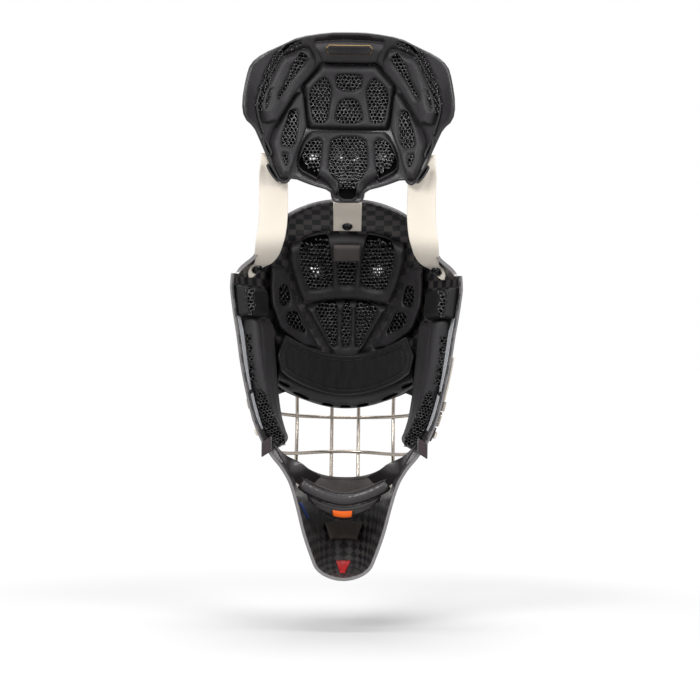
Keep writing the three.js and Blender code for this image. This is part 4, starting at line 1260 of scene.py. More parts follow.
def weld(piece: Piece, distance: float = 0.002, report: bool = True) -> None:
    """Joins points that lie together, closer than a distance in millimetres.

    Args:
        piece: the piece.
        distance: the distance.
        report: whether open edges are logged.
    """
    mesh = bmesh.new()
    mesh.from_mesh(piece.data)
    bmesh.ops.remove_doubles(mesh, verts=mesh.verts, dist=distance * MM)
    bmesh.ops.dissolve_degenerate(mesh, edges=mesh.edges, dist=distance * MM / 2)
    bmesh.ops.recalc_face_normals(mesh, faces=mesh.faces)
    loose = sum(not edge.is_manifold for edge in mesh.edges)
    if loose and report:
        log.warning("%s has %d open edges", piece.name, loose)
    mesh.to_mesh(piece.data)
    mesh.free()


def boolean(piece: Piece, cutters: Sequence) -> None:
    """Cuts a piece by closed cutters, and applies and removes them."""
    for cutter in cutters:
        cut = piece.modifiers.new("cut", "BOOLEAN")
        cut.operation, cut.object, cut.solver = "DIFFERENCE", cutter, "EXACT"
        with bpy.context.temp_override(object=piece, active_object=piece, selected_objects=[piece]):
            bpy.ops.object.modifier_apply(modifier=cut.name)
        mesh = cutter.data
        bpy.data.objects.remove(cutter)
        bpy.data.meshes.remove(mesh)


def prism(outline: Array, y0: float, y1: float) -> Piece:
    """Cutter that runs along Y over an outline in X and Z."""
    rings = [np.column_stack([outline[:, 0], np.full(len(outline), y), outline[:, 1]]) for y in (y0, y1)]
    return loft("cutter", np.array(rings), RIM)


@dataclass
class Shell:
    """Carbon shell with its bright rim, eye opening and vents."""

    form: ShellForm = SHELL
    rows: int = 170
    columns: int = 130
    eye_top_half: float = 80.0
    eye_top_sag: float = 26.0
    eye_corner: float = 16.0
    eye_turn: float = 0.69
    vent_radius: float = 8.0
    vent_x: float = 33.0
    vent_z: float = 87.0
    notch_corner: float = 5.0
    rim_round: float = 0.45

    def eye_top(self, x: Array) -> Array:
        """Upper edge of the eye opening."""
        return self.form.eye_top_z - self.eye_top_sag * (1 - (x / self.eye_top_half) ** 2)

    def eye_outline(self) -> Array:
        """Outline of the eye opening in X and Z."""
        form, corner = self.form, self.eye_corner
        xs = np.linspace(0, self.eye_top_half - corner, 12)
        zs = np.linspace(form.eye_top_z - corner, form.eye_bottom_z + corner, 20)
        side = form.outer(zs, self.eye_turn)[:, 0]
        low = side[-1]
        turn_in = np.linspace(0.15, 1, 7) * math.pi / 2
        foot = np.column_stack([low - corner * (1 - np.cos(turn_in)),
                                form.eye_bottom_z + corner * (1 - np.sin(turn_in))])
        half = np.vstack([np.column_stack([xs, self.eye_top(xs)]), np.column_stack([side, zs]), foot])
        other = half[half[:, 0] > 0.01][::-1] * (-1, 1)
        return np.vstack([half, other])

    def notch(self) -> Piece:
        """Cutter that sets the crown forward of the side panels."""
        form, corner = self.form, self.notch_corner
        back, front = form.rim_y - form.setback - 20, form.rim_y - 0.3
        angle = np.linspace(-math.pi / 2, 0, 7)
        arc = np.column_stack([front - corner + corner * np.cos(angle),
                               form.notch_z + corner + corner * np.sin(angle)])
        top = form.flare_top_z + 20
        outline = np.vstack([[back, form.notch_z], arc, [front, top], [back, top]])
        rings = np.array([np.column_stack([np.full(len(outline), x), outline]) for x in (-140, 140)])
        return loft("cutter", rings, RIM)

    def cloth(self, z: Array, turn: Array) -> Array:
        """Places on the carbon cloth in millimetres, turned to lie askew in the chin."""
        form, centre = self.form, self.columns // 2
        mid = form.skin(z, turn, form.wall / 2)
        line = mid[:, centre]
        along = np.cumsum(np.linalg.norm(np.diff(line, axis=0, prepend=line[:1]), axis=1))
        arc = np.cumsum(np.linalg.norm(np.diff(mid, axis=1, prepend=mid[:, :1]), axis=2), axis=1)
        arc -= arc[:, centre][:, None]
        sheet = np.stack([arc, np.broadcast_to(along[:, None], arc.shape)], -1)
        askew = np.stack([sheet[..., 0] + sheet[..., 1], sheet[..., 1] - sheet[..., 0]], -1) * math.sqrt(0.5)
        return mix(sheet, askew, smooth(-z[:, 0], 118, 122)[:, None, None])

    def dress(self, shell: Piece, count: int) -> None:
        """Gives the edge its bright finish and the outside its lacquer.

        Args:
            shell: the shell before it is cut.
            count: points in each of its rings.
        """
        shell.data.materials.append(RIM)
        shell.data.materials.append(OUTSIDE)
        n = self.columns
        for polygon in shell.data.polygons:
            columns = {i % count for i in polygon.vertices}
            bright = [{n - 1, n}, {n, n + 1}, {2 * n + 4, 2 * n + 5}, {2 * n + 5, 0}]
            if polygon.center[2] < self.form.flare_end_z * MM:
                bright += [{n + 1, n + 2}, {2 * n + 3, 2 * n + 4}]
            if columns in bright:
                polygon.material_index = 1
            elif max(columns) < n:
                polygon.material_index = 2

    def build(self) -> None:
        """Makes the shell, its eye opening, its notch and its vents."""
        form = self.form
        v = np.linspace(0, 1, self.rows)
        z = mix(form.crown_z, form.chin_z, (1 - np.cos(math.pi * v)) / 2)[:, None]
        turn = np.linspace(-1, 1, self.columns)[None, :]
        outer, inner = (form.skin(z, turn, depth) for depth in (0.0, form.wall))
        for layer in (outer, inner):
            layer[:, [0, -1], 1] += self.rim_round
        left, right = ([form.skin(z, side, form.wall * share)[:, 0] for share in (0.12, 0.5, 0.88)]
                       for _, side in SIDES)
        ring = np.concatenate([outer, np.stack(right, 1), inner[:, ::-1], np.stack(left[::-1], 1)], 1)
        sheet = self.cloth(z, turn)
        ends = [np.stack([sheet[:, column]] * 3, 1) for column in (-1, 0)]
        uv = np.concatenate([sheet, ends[0], sheet[:, ::-1], ends[1]], 1).reshape(-1, 2)
        count = ring.shape[1]
        faces = grid_faces(self.rows, count, wrap=True)
        shell = mesh_object("shell.carbon", ring.reshape(-1, 3), faces, CARBON, uv)
        self.dress(shell, count)
        weld(shell)
        cutters = [self.notch(), prism(self.eye_outline(), -40, 120)]
        for _, side in SIDES:
            cutters.append(prism(disc(side * self.vent_x, self.vent_z, self.vent_radius, 48), -60, 100))
        boolean(shell, cutters)
        seat(shell, "shell", "carbon", "shell")
        shell.data.set_sharp_from_angle(angle=math.radians(40))


@dataclass
class Cage:
    """Welded wire grille."""

    form: ShellForm = SHELL
    shell: Shell = field(default_factory=Shell)
    wire: float = 1.95
    frame_wire: float = 2.3
    overlap: float = 9.0
    bulge: float = 13.0
    seat_gap: float = 0.9
    side_turn: float = 0.76
    uprights: tuple = (-52.0, -14.5, 14.5, 52.0)
    crosses: tuple = ((-72.0, 15.0, 1.0), (-107.0, 8.0, 1.0), (-135.0, 3.0, 0.85), (-141.0, 2.0, 0.45))
    chin_half: float = 46.0

    def depth(self, turn: Array, share: Array) -> Array:
        """How far outside the shell a wire runs."""
        fade = 1 - np.minimum(np.abs(turn) / self.side_turn, 1) ** 4
        return -(self.frame_wire + self.seat_gap + self.bulge * share * fade)

    def frame_path(self) -> Array:
        """Closed path of the frame wire."""
        form, half = self.form, []
        chin_z = form.eye_bottom_z - self.overlap
        for x in np.linspace(0, self.shell.eye_top_half, 6)[:5]:
            z = float(self.shell.eye_top(x)) + self.overlap
            half.append((z, float(form.turn_at_x(x, z, 0))))
        corner_z, corner_turn = half[-1]
        side_z = form.eye_top_z - self.shell.eye_corner
        for k in range(1, 6):
            angle = (1 - k / 5) * math.pi / 2
            half.append((mix(side_z, corner_z, math.sin(angle)),
                         mix(corner_turn, self.side_turn, math.cos(angle))))
        for k in range(1, 6):
            half.append((mix(side_z, form.eye_bottom_z + self.overlap, k / 5), self.side_turn))
        chin_turn = float(form.turn_at_x(self.chin_half - self.overlap, chin_z, 0))
        half += [(chin_z + self.frame_wire, mix(chin_turn, self.side_turn, 0.5)), (chin_z, chin_turn),
                 (chin_z, chin_turn / 2)]
        pairs = np.array(half + [(chin_z, 0)] + [(z, -t) for z, t in half[::-1] if t > 0.001])
        return form.skin(*pairs.T, -(self.frame_wire + self.seat_gap))

    def upright_path(self, x: float) -> Array:
        """Path of one upright, lifted over the cross wires that it is welded to."""
        form, side = self.form, abs(x)
        top_z = float(self.shell.eye_top(x)) + self.overlap
        bottom_z = form.eye_bottom_z - self.overlap
        if side >= self.chin_half:
            bottom_z = bisected((), bottom_z, form.eye_top_z,
                                lambda z: form.outer(z, self.side_turn)[0] < side, 30)
        share = np.linspace(0, 1, 9)
        z = mix(top_z, bottom_z, share)
        reach = np.full(9, -self.bulge)
        lift = (1 - (2 * share - 1) ** 6) * 2 * self.wire * 0.82
        ends = smooth(share * 8, 0, 2) * smooth(8 - share * 8, 0, 2)
        for _ in range(5):
            turn = form.turn_at_x(x, z, reach)
            reach = self.depth(turn, ends) - lift
        return form.skin(z, turn, reach)

    def build(self) -> None:
        """Makes the wires."""
        path = through(self.frame_path(), 260, True)
        seat(wire("cage.frame", path, self.frame_wire, STEEL, closed=True), "shell", "steel", "cage")
        for k, (z0, rise, share) in enumerate(self.crosses):
            turn = self.side_turn * np.linspace(-1, 1, 11)
            z = z0 + rise * (turn / self.side_turn) ** 2
            path = through(self.form.skin(z, turn, self.depth(turn, share)), 120)
            seat(wire(f"cage.cross{k + 1}", path, self.wire, STEEL), "shell", "steel")
        for k, x in enumerate(self.uprights):
            path = through(self.upright_path(x), 90)
            seat(wire(f"cage.upright{k + 1}", path, self.wire, STEEL), "shell", "steel")


@dataclass
class Liner:
    """Crown, temple, ear, jaw and chin padding, the brow rim and the sweatband."""

    thickness: float = 13.0
    side_thickness: float = 16.0

    def crown(self) -> None:
        """Makes the crown pads with their fans of windows, and the raised tab."""
        deep = self.thickness * 0.9
        fan = all_traced((
            [(299, 250), (305, 244), (318, 241), (328, 240), (331, 255), (334, 280), (331, 289), (312, 292),
             (308, 290), (303, 278), (299, 262)],
            [(340, 252), (354, 252), (357, 262), (356, 282), (352, 288), (342, 288), (338, 282), (337, 262)],
            [(315, 307), (336, 302), (338, 310), (338, 346), (332, 348), (325, 331), (318, 317)],
            [(343, 302), (352, 302), (352, 347), (342, 347)]), on_shell, deep)
        rows = shell_rows(both(((0.745, 0.593), (0.68, 0.613), (0.605, 0.593), (0.484, 0.543),
                                (0.34, 0.462))))
        vents = tuple(disc(side * Shell.vent_x, Shell.vent_z, 5.5) for _, side in SIDES)
        Padding("crown_pad_upper", rows, top_bow=10, end_bow=8, rounding=1,
                windows=on_both(fan[:1]) + (fan[1],), vents=vents).build()
        rows = shell_rows(both(((0.32, 0.438), (0.157, 0.3), (0, 0.16), (-0.15, 0.14))))
        Padding("crown_pad_lower", rows, top_bow=8, rounding=1, windows=on_both(fan[2:3]) + (fan[3],)).build()
        half = [(304, 303), (312, 299), (320, 297), (333, 295), (344, 294.4)]
        low = self.thickness * 0.8
        arc = traced(half + [(694 - x, y) for x, y in half[::-1]], on_shell, low)
        path = through(on_shell(*arc.T, low), 80)
        seat(wire("crown_pad_upper.lip", path, 0.9, TAB_FOAM, sides=8), "shell", "foam")
        rows = shell_rows(both(((0.805, 0.14), (0.7, 0.14))))
        Padding("crown_tab", rows, thickness=4.0, brim=1.2, edge=2.5, base=14.1, rounding=2,
                finish=TAB_FOAM).build()

    def brow(self) -> None:
        """Makes the rim of the brow with its slots, and the bound sweatband over it."""
        slots = all_traced((
            [(323, 402), (335, 404.5), (335, 407), (323, 405)],
            [(279, 381), (290, 386), (290, 389), (279, 384)],
            [(294, 391), (310, 398), (310, 401), (294, 394)],
            [(341, 405), (352, 405), (352, 407.5), (341, 407.5)]), on_shell, self.thickness * 0.8, 346.5)
        rows = shell_rows(both(((-0.092, 0.703), (-0.176, 0.723), (-0.252, 0.733))))
        Padding("forehead_pad", rows, top_bow=-20, end_bow=-25, edge=4, lip=1.0,
                windows=on_both(slots[:3]) + (slots[3],), rounding=1, web=False).build()
        rows = shell_rows(both(((0.105, 0.64), (-0.04, 0.714), (-0.157, 0.68), (-0.203, 0.6))))
        band = Padding("sweatband", rows, thickness=6, brim=1.6, edge=4, base=14.3, top_bow=-18, end_bow=-19,
                       fill=0.4, slot="cloth", finish=TWILL, puckers=1.2, rounding=2)
        band.build()
        outline, flat_band = band.outline(), replace(band, puckers=0.0)
        for k, (distance, lift, radius) in enumerate(((1.6, 0.3, 0.8), (6.2, -0.5, 0.4))):
            ring = inset(outline, distance)
            top = band.base + flat_band.height(ring, outline, ()) + lift
            ring = through(on_shell(*ring.T, top), 300, True)
            seat(wire(f"sweatband.edge{k + 1}", ring, radius, PIPING, closed=True, sides=8), "shell", "cloth")

    def side(self, tag: str, side: float) -> None:
        """Makes the temple, ear and jaw pads of one side."""
        temple = all_traced((
            [(279, 287), (286, 284), (290, 294), (291, 303), (283, 308), (279, 303)],
            [(287, 313), (297, 311), (301, 320), (308, 334), (300, 332), (290, 327), (286, 320)]),
            on_shell, self.thickness * 0.9)
        rows = shell_rows(on_side(((0.588, 0.66, 0.79), (0.45, 0.6, 0.8), (0.314, 0.52, 0.79),
                                   (0.14, 0.39, 0.7), (0.026, 0.29, 0.46)), side))
        Padding(f"temple_pad_{tag}", rows, edge=5, rounding=2, windows=facing(temple, side)).build()
        rows = wall_rows(((0.418, -0.128, 0.27), (0.209, -0.142, 0.31)))
        ear = Padding(f"ear_pad_{tag}", rows, on_wall(side), thickness=self.side_thickness, rounding=2,
                      finish=EAR_FOAM)
        ear.build()
        self.rear_windows(ear, side, ([(247, 289), (259, 290), (260, 301), (257, 316), (248, 313)],), 4.4)
        rows = wall_rows(((0.19, 0.01, 0.36), (-0.12, 0.03, 0.42), (-0.38, 0.08, 0.42), (-0.56, 0.15, 0.4),
                          (-0.68, 0.21, 0.37)))
        jaw = Padding(f"jaw_pad_{tag}", rows, on_wall(side), thickness=self.side_thickness, edge=7,
                      rounding=2, ridge=True)
        jaw.build()
        slots = [[(244.5 + 1.2 * k, 336 + 10 * k), (250 + k, 335 + 10 * k), (251 + k, 342 + 10 * k),
                  (246 + 1.2 * k, 344 + 10 * k)] for k in range(5)]
        strip = [(256, 393), (264, 391), (270, 408), (279, 430), (287, 442), (281, 447), (272, 437),
                 (262, 415)]
        self.rear_windows(jaw, side, (strip, *slots), 3.3)

    def rear_windows(self, pad: Padding, side: float, windows: Sequence, cell: float) -> None:
        """Lays thin near-black sheets on the rear side of a wall pad, painted shade that stands in for
        hollows, and sets lattice over them.

        Args:
            pad: the pad.
            side: -1 for the left wall, 1 for the right.
            windows: outlines of the left pad in the photograph's frame.
            cell: mean size of a cell.
        """
        left, place = on_rear(-1.0, pad), on_rear(side, pad)
        for k, window in enumerate(windows):
            flat = rounded(traced_rear(window, left), 0.8, 2)
            # A flat near-black sheet on the foam: painted shade in place of a hollow.
            shade_sheet = patch(f"{pad.node}.hollow{k + 1}", flat, place, 0.0, 0.3, SHADE_BLACK)
            seat(shade_sheet, "shell", "foam")
            lattice(f"{pad.node}.lattice{k + 1}", "shell", flat, place, lambda p: np.full(len(p), 0.8), cell,
                    5 * k)

    def build(self) -> None:
        """Makes every pad inside the shell."""
        self.crown()
        self.brow()
        for tag, side in SIDES:
            self.side(tag, side)
        rows = shell_rows(both(((-1.203, 0.201), (-1.32, 0.141))))
        # The chin tab takes the lightened copy of the tab foam: painted light against the chin's shade.
        Padding("chin_tab_pad", rows, thickness=4, brim=1.5, edge=2.5, finish=LIT_TAB_FOAM).build()


@dataclass
class BackPlate:
    """Moulded back plate with its padding."""

    form: PlateForm = PLATE
    spacing: float = 1.8
    vent_xs: tuple = (-36.0, -8.0, 8.0, 36.0)
    vent_radius: float = 5.0
    pad: float = 12.0

    def outline(self) -> Array:
        """Edge of the plate in X and Z."""
        half = np.array(((0, 1), (0.205, 0.997), (0.474, 0.971), (0.6, 0.934), (0.815, 0.868),
                         (0.925, 0.805), (0.965, 0.72), (1, 0.575), (0.98, 0.485), (0.89, 0.44),
                         (0.845, 0.38), (0.787, 0.299), (0.7, 0.175), (0.624, 0.112), (0.56, 0.118),
                         (0.53, 0.155), (0.34, 0.108), (0.165, 0.078), (0.153, 0.024), (0.117, 0), (0, 0)))
        half = half * (PLATE_HALF, PLATE_HIGH - PLATE_LOW) + (0, PLATE_LOW)
        return rounded(np.vstack([half, (half[1:-1] * (-1, 1))[::-1]]), 1.6, 1)

    def build(self) -> None:
        """Makes the plate and its pads."""
        outline = self.outline()
        holes = [disc(x, PLATE_VENT_Z, self.vent_radius, 28) for x in self.vent_xs]
        grid = grid_in(outline, self.spacing, 1.6)
        for hole in holes:
            grid = grid[inside(grid, hole) < -1]
        flat, faces = triangulated([outline] + holes, [inset(outline, 0.8), grid], holes)
        bevel = 0.8 * (1 - np.clip(inside(flat, outline) / 0.8, 0, 1)) ** 2
        outer, inner = (self.form.point(*flat.T, depth) for depth in (bevel, self.form.wall - bevel))
        plate = closed_sheet("back_plate.moulding", outer, inner, faces, PLASTIC)
        seat(plate, "back_plate", "plastic", "back_plate_shell")
        self.pads()

    def cushion(self, node: str, shares: Sequence, edge: float, **choices: object) -> None:
        """Makes one pad of the plate from the shares of its rows."""
        Padding(node, plate_rows(shares), on_plate, "back_plate", self.pad, edge=edge, **choices).build()

    def pads(self) -> None:
        """Makes the padding of the plate."""
        def windows(*outlines: Sequence) -> list:
            """Windows of the frame on the plate."""
            return all_traced(outlines, on_plate, self.pad * 0.9, Trim.middle)

        centre = windows(
            [(323, 78), (328, 80), (333, 92), (330, 108), (328, 123), (315, 123), (312, 110), (310, 97),
             (312, 88)],
            [(338, 75), (361, 75), (363, 80), (360, 91), (339, 91), (336, 80)],
            [(342, 99), (357, 99), (362, 110), (363, 123), (336, 123), (337, 110)])
        self.cushion("back_centre_pad",
                     both(((0.845, 0.26), (0.718, 0.456), (0.65, 0.442), (0.517, 0.42), (0.455, 0.385))), 5,
                     rounding=1, windows=on_both(centre[:1]) + tuple(centre[1:]))
        lower = windows(
            [(309, 141), (324, 137), (323, 152), (321, 174), (313, 170), (303, 165), (302, 158), (305, 150)],
            [(333, 136), (366, 136), (368, 150), (369, 165), (365, 176), (359, 181), (358, 193), (341, 193),
             (340, 181), (334, 176), (330, 168), (331, 150)])
        self.cushion("back_lower_pad",
                     both(((0.435, 0.381), (0.339, 0.465), (0.253, 0.49), (0.184, 0.405), (0.12, 0.18),
                           (0.04, 0.11))),
                     4.5, rounding=1, windows=on_both(lower[:1]) + (lower[1],),
                     vents=tuple(disc(x, PLATE_VENT_Z, 4.6) for x in self.vent_xs))
        self.cushion("back_neck_pad", both(((0.957, 0.335), (0.868, 0.274))), 4, top_bow=2.5, rounding=1)
        wing = windows(
            [(303, 54), (309, 58), (306, 66), (300, 73), (292, 83), (285, 95), (281, 101), (279, 98),
             (283, 90), (289, 78), (293, 66), (298, 58)],
            [(284, 50), (300, 44), (303, 45), (290, 53), (285, 60), (278, 75), (274, 82), (273, 78),
             (279, 66)],
            [(272, 90), (275, 88), (272, 104), (269, 112), (268, 106)])
        flank = windows(
            [(292, 109), (300, 111), (300, 130), (297, 147), (285, 147), (283, 142), (285, 130), (289, 118)],
            [(283, 153), (291, 154), (291, 160), (289, 167), (286, 163)],
            [(269, 137), (272, 139), (278, 152), (276, 155), (272, 149)],
            [(272, 162), (276, 162), (281, 170), (284, 177), (280, 176), (275, 169)])
        for tag, side in SIDES:
            for part, holes, shares in (
                    ("wing", wing, ((0.92, 0.38, 0.45), (0.87, 0.32, 0.64), (0.82, 0.34, 0.7),
                                    (0.727, 0.47, 0.77), (0.635, 0.58, 0.83), (0.549, 0.66, 0.86),
                                    (0.471, 0.74, 0.82))),
                    ("side", flank, ((0.672, 0.475, 0.5), (0.632, 0.461, 0.555), (0.537, 0.447, 0.64),
                                     (0.445, 0.425, 0.72), (0.345, 0.49, 0.765), (0.259, 0.525, 0.725),
                                     (0.19, 0.54, 0.685), (0.138, 0.567, 0.64)))):
                self.cushion(f"back_{part}_pad_{tag}", on_side(shares, side), 4, rounding=2,
                             windows=facing(holes, side))


@dataclass
class Tethers:
    """Three cream elastic straps that hold the back plate, with their snaps."""

    width: float = 29.0
    thickness: float = 1.6
    clear: float = 0.9
    snap_radius: float = 5.5
    snap_height: float = 2.4

    def snap(self, node: str, part: str, origin: Array, axis: Array, finish: Material,
             slot: str, scale: float = 1.0) -> None:
        """Domed press snap that stands for a node.

        Args:
            node: the node.
            part: ending of the piece's name.
            origin: where it sits.
            axis: direction it points.
            finish: its material.
            slot: its slot, or nothing.
            scale: its size against the usual one.
        """
        radius, height = self.snap_radius * scale, self.snap_height
        shares = ((0.98, 0), (1, 0.12), (1, 0.32), (0.93, 0.5), (0.8, 0.92), (0.72, 1), (0.6, 0.96),
                  (0.45, 0.7), (0.3, 0.62))
        profile = [(0.1, 0), *((radius * out, height * up) for out, up in shares), (0.1, height * 0.62)]
        seat(turned(f"{node}.{part}", profile, origin, axis, finish), "shell", slot, node)

    def build(self) -> None:
        """Makes the straps and snaps."""
        lie = self.clear + self.thickness / 2
        wall, rim_y = SHELL.wall, SHELL.rim_y
        points = [PLATE.point(0, 176, -lie), PLATE.point(0, 168, -lie), (0, rim_y - 5, 157),
                  (0, rim_y - 5.8, 150), (0, rim_y, 146)]
        points += [SHELL.at_x(0, z, wall + lie) for z in (141, 133, 128)]
        strap = ribbon("crown_strap.web", [np.ravel(p) for p in points], [(1, 0, 0)] * 8,
                       lambda share: self.width, self.thickness, CREAM)
        sling(strap, "back_plate", "shell", "crown_strap")
        foot, tip = (SHELL.at_x(0, 133, wall + self.clear + self.thickness + lift) for lift in (0.6, 2.7))
        self.snap("crown_snap", "metal", foot, tip - foot, BLACK_STEEL, "black_steel")
        for tag, side in SIDES:
            self.side_strap(tag, side, lie)

    def side_strap(self, tag: str, side: float, lie: float) -> None:
        """Strap from the plate's waist to the inner side wall, with its pointed end and snap."""
        wall, x = SHELL.wall, side * 75
        points = [PLATE.point(x, 198, -lie), PLATE.point(x, 190, -lie), (x, -68, 165), (x, -74, 128),
                  (side * 78, -74, 108), SHELL.at_y(side, -54, 95, wall + lie + 6),
                  SHELL.at_y(side, -46, 87, wall + lie + 2), SHELL.at_y(side, -46, 74, wall + lie + 1.2)]
        inward = np.array([-side, 0, 0])
        run = unit(PLATE.point(x - side * 8, 198, 0) - PLATE.point(x + side * 8, 198, 0))
        along = unit(np.subtract(*(SHELL.at_y(side, y, 87, wall + lie + 2) for y in (-38, -54))))
        lain = mix(inward, along, 0.45)
        acrosses = [run, run, inward, inward, mix(inward, along, 0.1), mix(inward, along, 0.3), lain, lain]

        def width(share: float) -> float:
            """Width at a share of the strap's length: full, then narrowing to the tip."""
            return self.width * float(np.interp(share, (0, 0.55, 0.64, 0.72, 0.86, 0.94, 1),
                                                (1, 1, 0.9, 0.66, 0.5, 0.38, 0.14)))

        points = [np.ravel(p) for p in points]
        strap = ribbon(f"side_strap_{tag}.web", points, acrosses, width, self.thickness, CREAM, 80)
        sling(strap, "back_plate", "shell",
              f"side_strap_{tag}")
        lower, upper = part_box(f"side_snap_{tag}")
        centre = np.array((lower + upper) / 2) / MM
        path = through(points, 400)
        k = int(400 * 6 / 7)
        tangent = unit(path[k + 1] - path[k - 1])
        normal = unit(np.cross(tangent, unit(lain)))
        normal = normal if normal[1] < 0 else -normal
        foot = mix(centre, path[k], 0.5) + normal * 0.6
        self.snap(f"side_snap_{tag}", "metal", foot, normal, BLACK_STEEL, "black_steel")


@dataclass
class ChinCup:
    """Leather cup slung in the chin, with its roll, band and straps."""

    leather: float = 4.0
    roll: float = 7.0
    lobe_half: float = 47.0
    foot_half: float = 37.0

    def lobe_point(self, u: Array, v: Array, offset: Array) -> Array:
        """Points of the bowl across and down it, at an offset to its inner face.

        Args:
            u: shares across.
            v: shares down.
            offset: distances towards the head.

        Returns:
            The points.
        """
        u, v, offset = spread(u, v, offset)
        share = 2 * u - 1
        arc = share ** 2
        x = share * mix(self.lobe_half, self.foot_half, v)
        z = mix(mix(-134.0, -118.0, arc ** 1.2), -157.0, v)
        y = mix(mix(8.0, -30.0, arc), mix(-18.0, -27.0, arc), v ** 1.3)
        lean = unit(np.stack([-share * 0.7, np.full_like(share, -1.0), np.full_like(share, 0.35)], -1))
        return np.stack([x, y, z], -1) + lean * offset[..., None]

    def lobe(self) -> None:
        """Makes the bowl with its soft edge and its seam."""
        u, v = np.meshgrid(np.linspace(0.003, 0.997, 61), np.linspace(0.01, 0.99, 25))
        near = np.minimum(np.minimum(u, 1 - u) * 80, np.minimum(v, 1 - v) * 32)
        puff = 0.5 + 0.5 * np.sqrt(1 - (1 - np.clip(near / 3.5, 0, 1)) ** 2)
        middle = self.leather / 2
        inner = self.lobe_point(u, v, middle + middle * puff)
        outer = self.lobe_point(u, v, middle - middle * puff)
        quads = grid_faces(25, 61)
        uv = np.stack([(u - 0.5) * 80, v * 32], -1).reshape(-1, 2)
        lobe = closed_sheet("chin_cup_lobe.leather", inner.reshape(-1, 3), outer.reshape(-1, 3), quads,
                            BUFFED, uv)
        seat(lobe, "chin_cup", "leather", "chin_cup_lobe")
        share = np.linspace(0.06, 0.94, 40)
        path = self.lobe_point(share, 0.14, self.leather + 0.15)
        seat(wire("chin_cup_lobe.seam", path, 0.35, PIPING), "chin_cup", "leather")

    def padded_roll(self) -> None:
        """Makes the roll along the lip, gathered by its seams."""
        half = [(44.2, -57, -135.5), (40, -56.5, -138.5), (21, -53.5, -147.5)]
        points = through([(-x, y, z) for x, y, z in half] + [(0, -52, -152)] + half[::-1], 90)
        share = np.linspace(-1, 1, 90)
        radius = self.roll * (0.97 - 0.22 * np.abs(share) ** 8 + 0.015 * np.sin(share * 60))
        roll = wire("chin_cup_roll.leather", points, radius, LEATHER, sides=28)
        seat(roll, "chin_cup", "leather", "chin_cup_roll")
        for k, turn in enumerate((0.5, 2.3)):
            shift = np.array([0, -math.sin(turn), math.cos(turn)]) * self.roll * 0.96
            seat(wire(f"chin_cup_roll.seam{k + 1}", points[4:-4] + shift, 0.5, PIPING), "chin_cup", "leather")

    def band(self) -> None:
        """Makes the band under the roll, its piping and its bare tag."""
        foot, drop, gap = -159.0, 10.0, 1.3
        rows = [(35.9, -53.3, foot - gap), (32, -49.4, foot - drop), (25, -38.4, foot - drop - 4),
                (26.3, -26, -167.0), (30.7, -20, -157.9)]
        curve = through(rows, 34)
        tangent = unit(np.gradient(curve, axis=0) * (0, 1, 1))
        normal = np.cross(tangent, (1, 0, 0))
        share = np.linspace(-1, 1, 49)
        v = np.linspace(0, 1, 34)[:, None]
        rise = share ** 2 * (11 * np.sin(math.pi * v) ** 2 + 12 * (1 - v) ** 2)
        x, y, z = (curve[:, i:i + 1] for i in range(3))
        middle = np.stack([share * x, np.broadcast_to(y, rise.shape), z + rise], -1)
        near = np.minimum((1 - np.abs(share)) * 32, np.minimum(v, 1 - v) * 40)
        half = 1.5 * (0.4 + 0.6 * np.sqrt(1 - (1 - np.clip(near / 2, 0, 1)) ** 2))[..., None]
        layers = [(middle + way * half * normal[:, None]).reshape(-1, 3) for way in (1, -1)]
        uv = np.stack([share * 30 + 0 * v, v * 40 + 0 * share], -1).reshape(-1, 2)
        band = closed_sheet("chin_cup_band.leather", *layers, grid_faces(34, 49), LEATHER, uv)
        seat(band, "chin_cup", "leather", "chin_cup_band")
        front = middle + (half + 0.25) * normal[:, None]
        if front[5, 24, 1] > middle[5, 24, 1]:
            front = middle - (half + 0.25) * normal[:, None]
        for k, row in enumerate((2, 6)):
            path = through(front[row, 3:-3], 60)
            seat(wire(f"chin_cup_band.piping{k + 1}", path, 0.55, PIPING), "chin_cup", "leather")
        self.tag(front)

    def tag(self, front: Array) -> None:
        """Makes the bare orange tag on the band, with its dark border."""
        for name, finish, rows, columns, lift in (("border", PIPING, (2, 10), (15, 31), 0.0),
                                                  ("face", ORANGE, (3, 9), (16, 30), 0.35)):
            layer = front[rows[0]:rows[1] + 1, columns[0]:columns[1] + 1]
            near = layer.reshape(-1, 3) + (0, -0.5 - lift, 0)
            tag = closed_sheet(f"chin_cup_band.tag_{name}", near, near + (0, 0.45 + lift, 0),
                               grid_faces(*layer.shape[:2]), finish)
            seat(tag, "chin_cup", "")

    def straps(self) -> None:
        """Makes the two leather straps that sling the cup from the jaw loops."""
        wall = SHELL.wall
        for tag, side in SIDES:
            end = self.lobe_point(0.1 if side < 0 else 0.9, 0.45, self.leather + 2.5)
            points = [SHELL.skin(LOOP_Z, side * 0.93, wall + 4.4),
                      SHELL.skin(-115.5, side * 0.88, wall + 3.7), (side * 46.5, -40, -127), end]
            points = [np.ravel(p) for p in points]
            facing_out = (-side * 0.7, 0.15, 0.69)
            acrosses = [(0, 1, 0), (-side * 0.25, 0.8, 0.3), facing_out, facing_out]
            strap = ribbon(f"chin_strap_{tag}.leather", points, acrosses,
                           lambda share: float(np.interp(share, (0, 0.35, 0.6, 1), (8, 13, 20, 20))), 1.6,
                           LEATHER, 40)
            sling(strap, "shell", "chin_cup",
                  f"chin_strap_{tag}")

    def build(self) -> None:
        """Makes the whole cup."""
        self.lobe()
        self.padded_roll()
        self.band()
        self.straps()


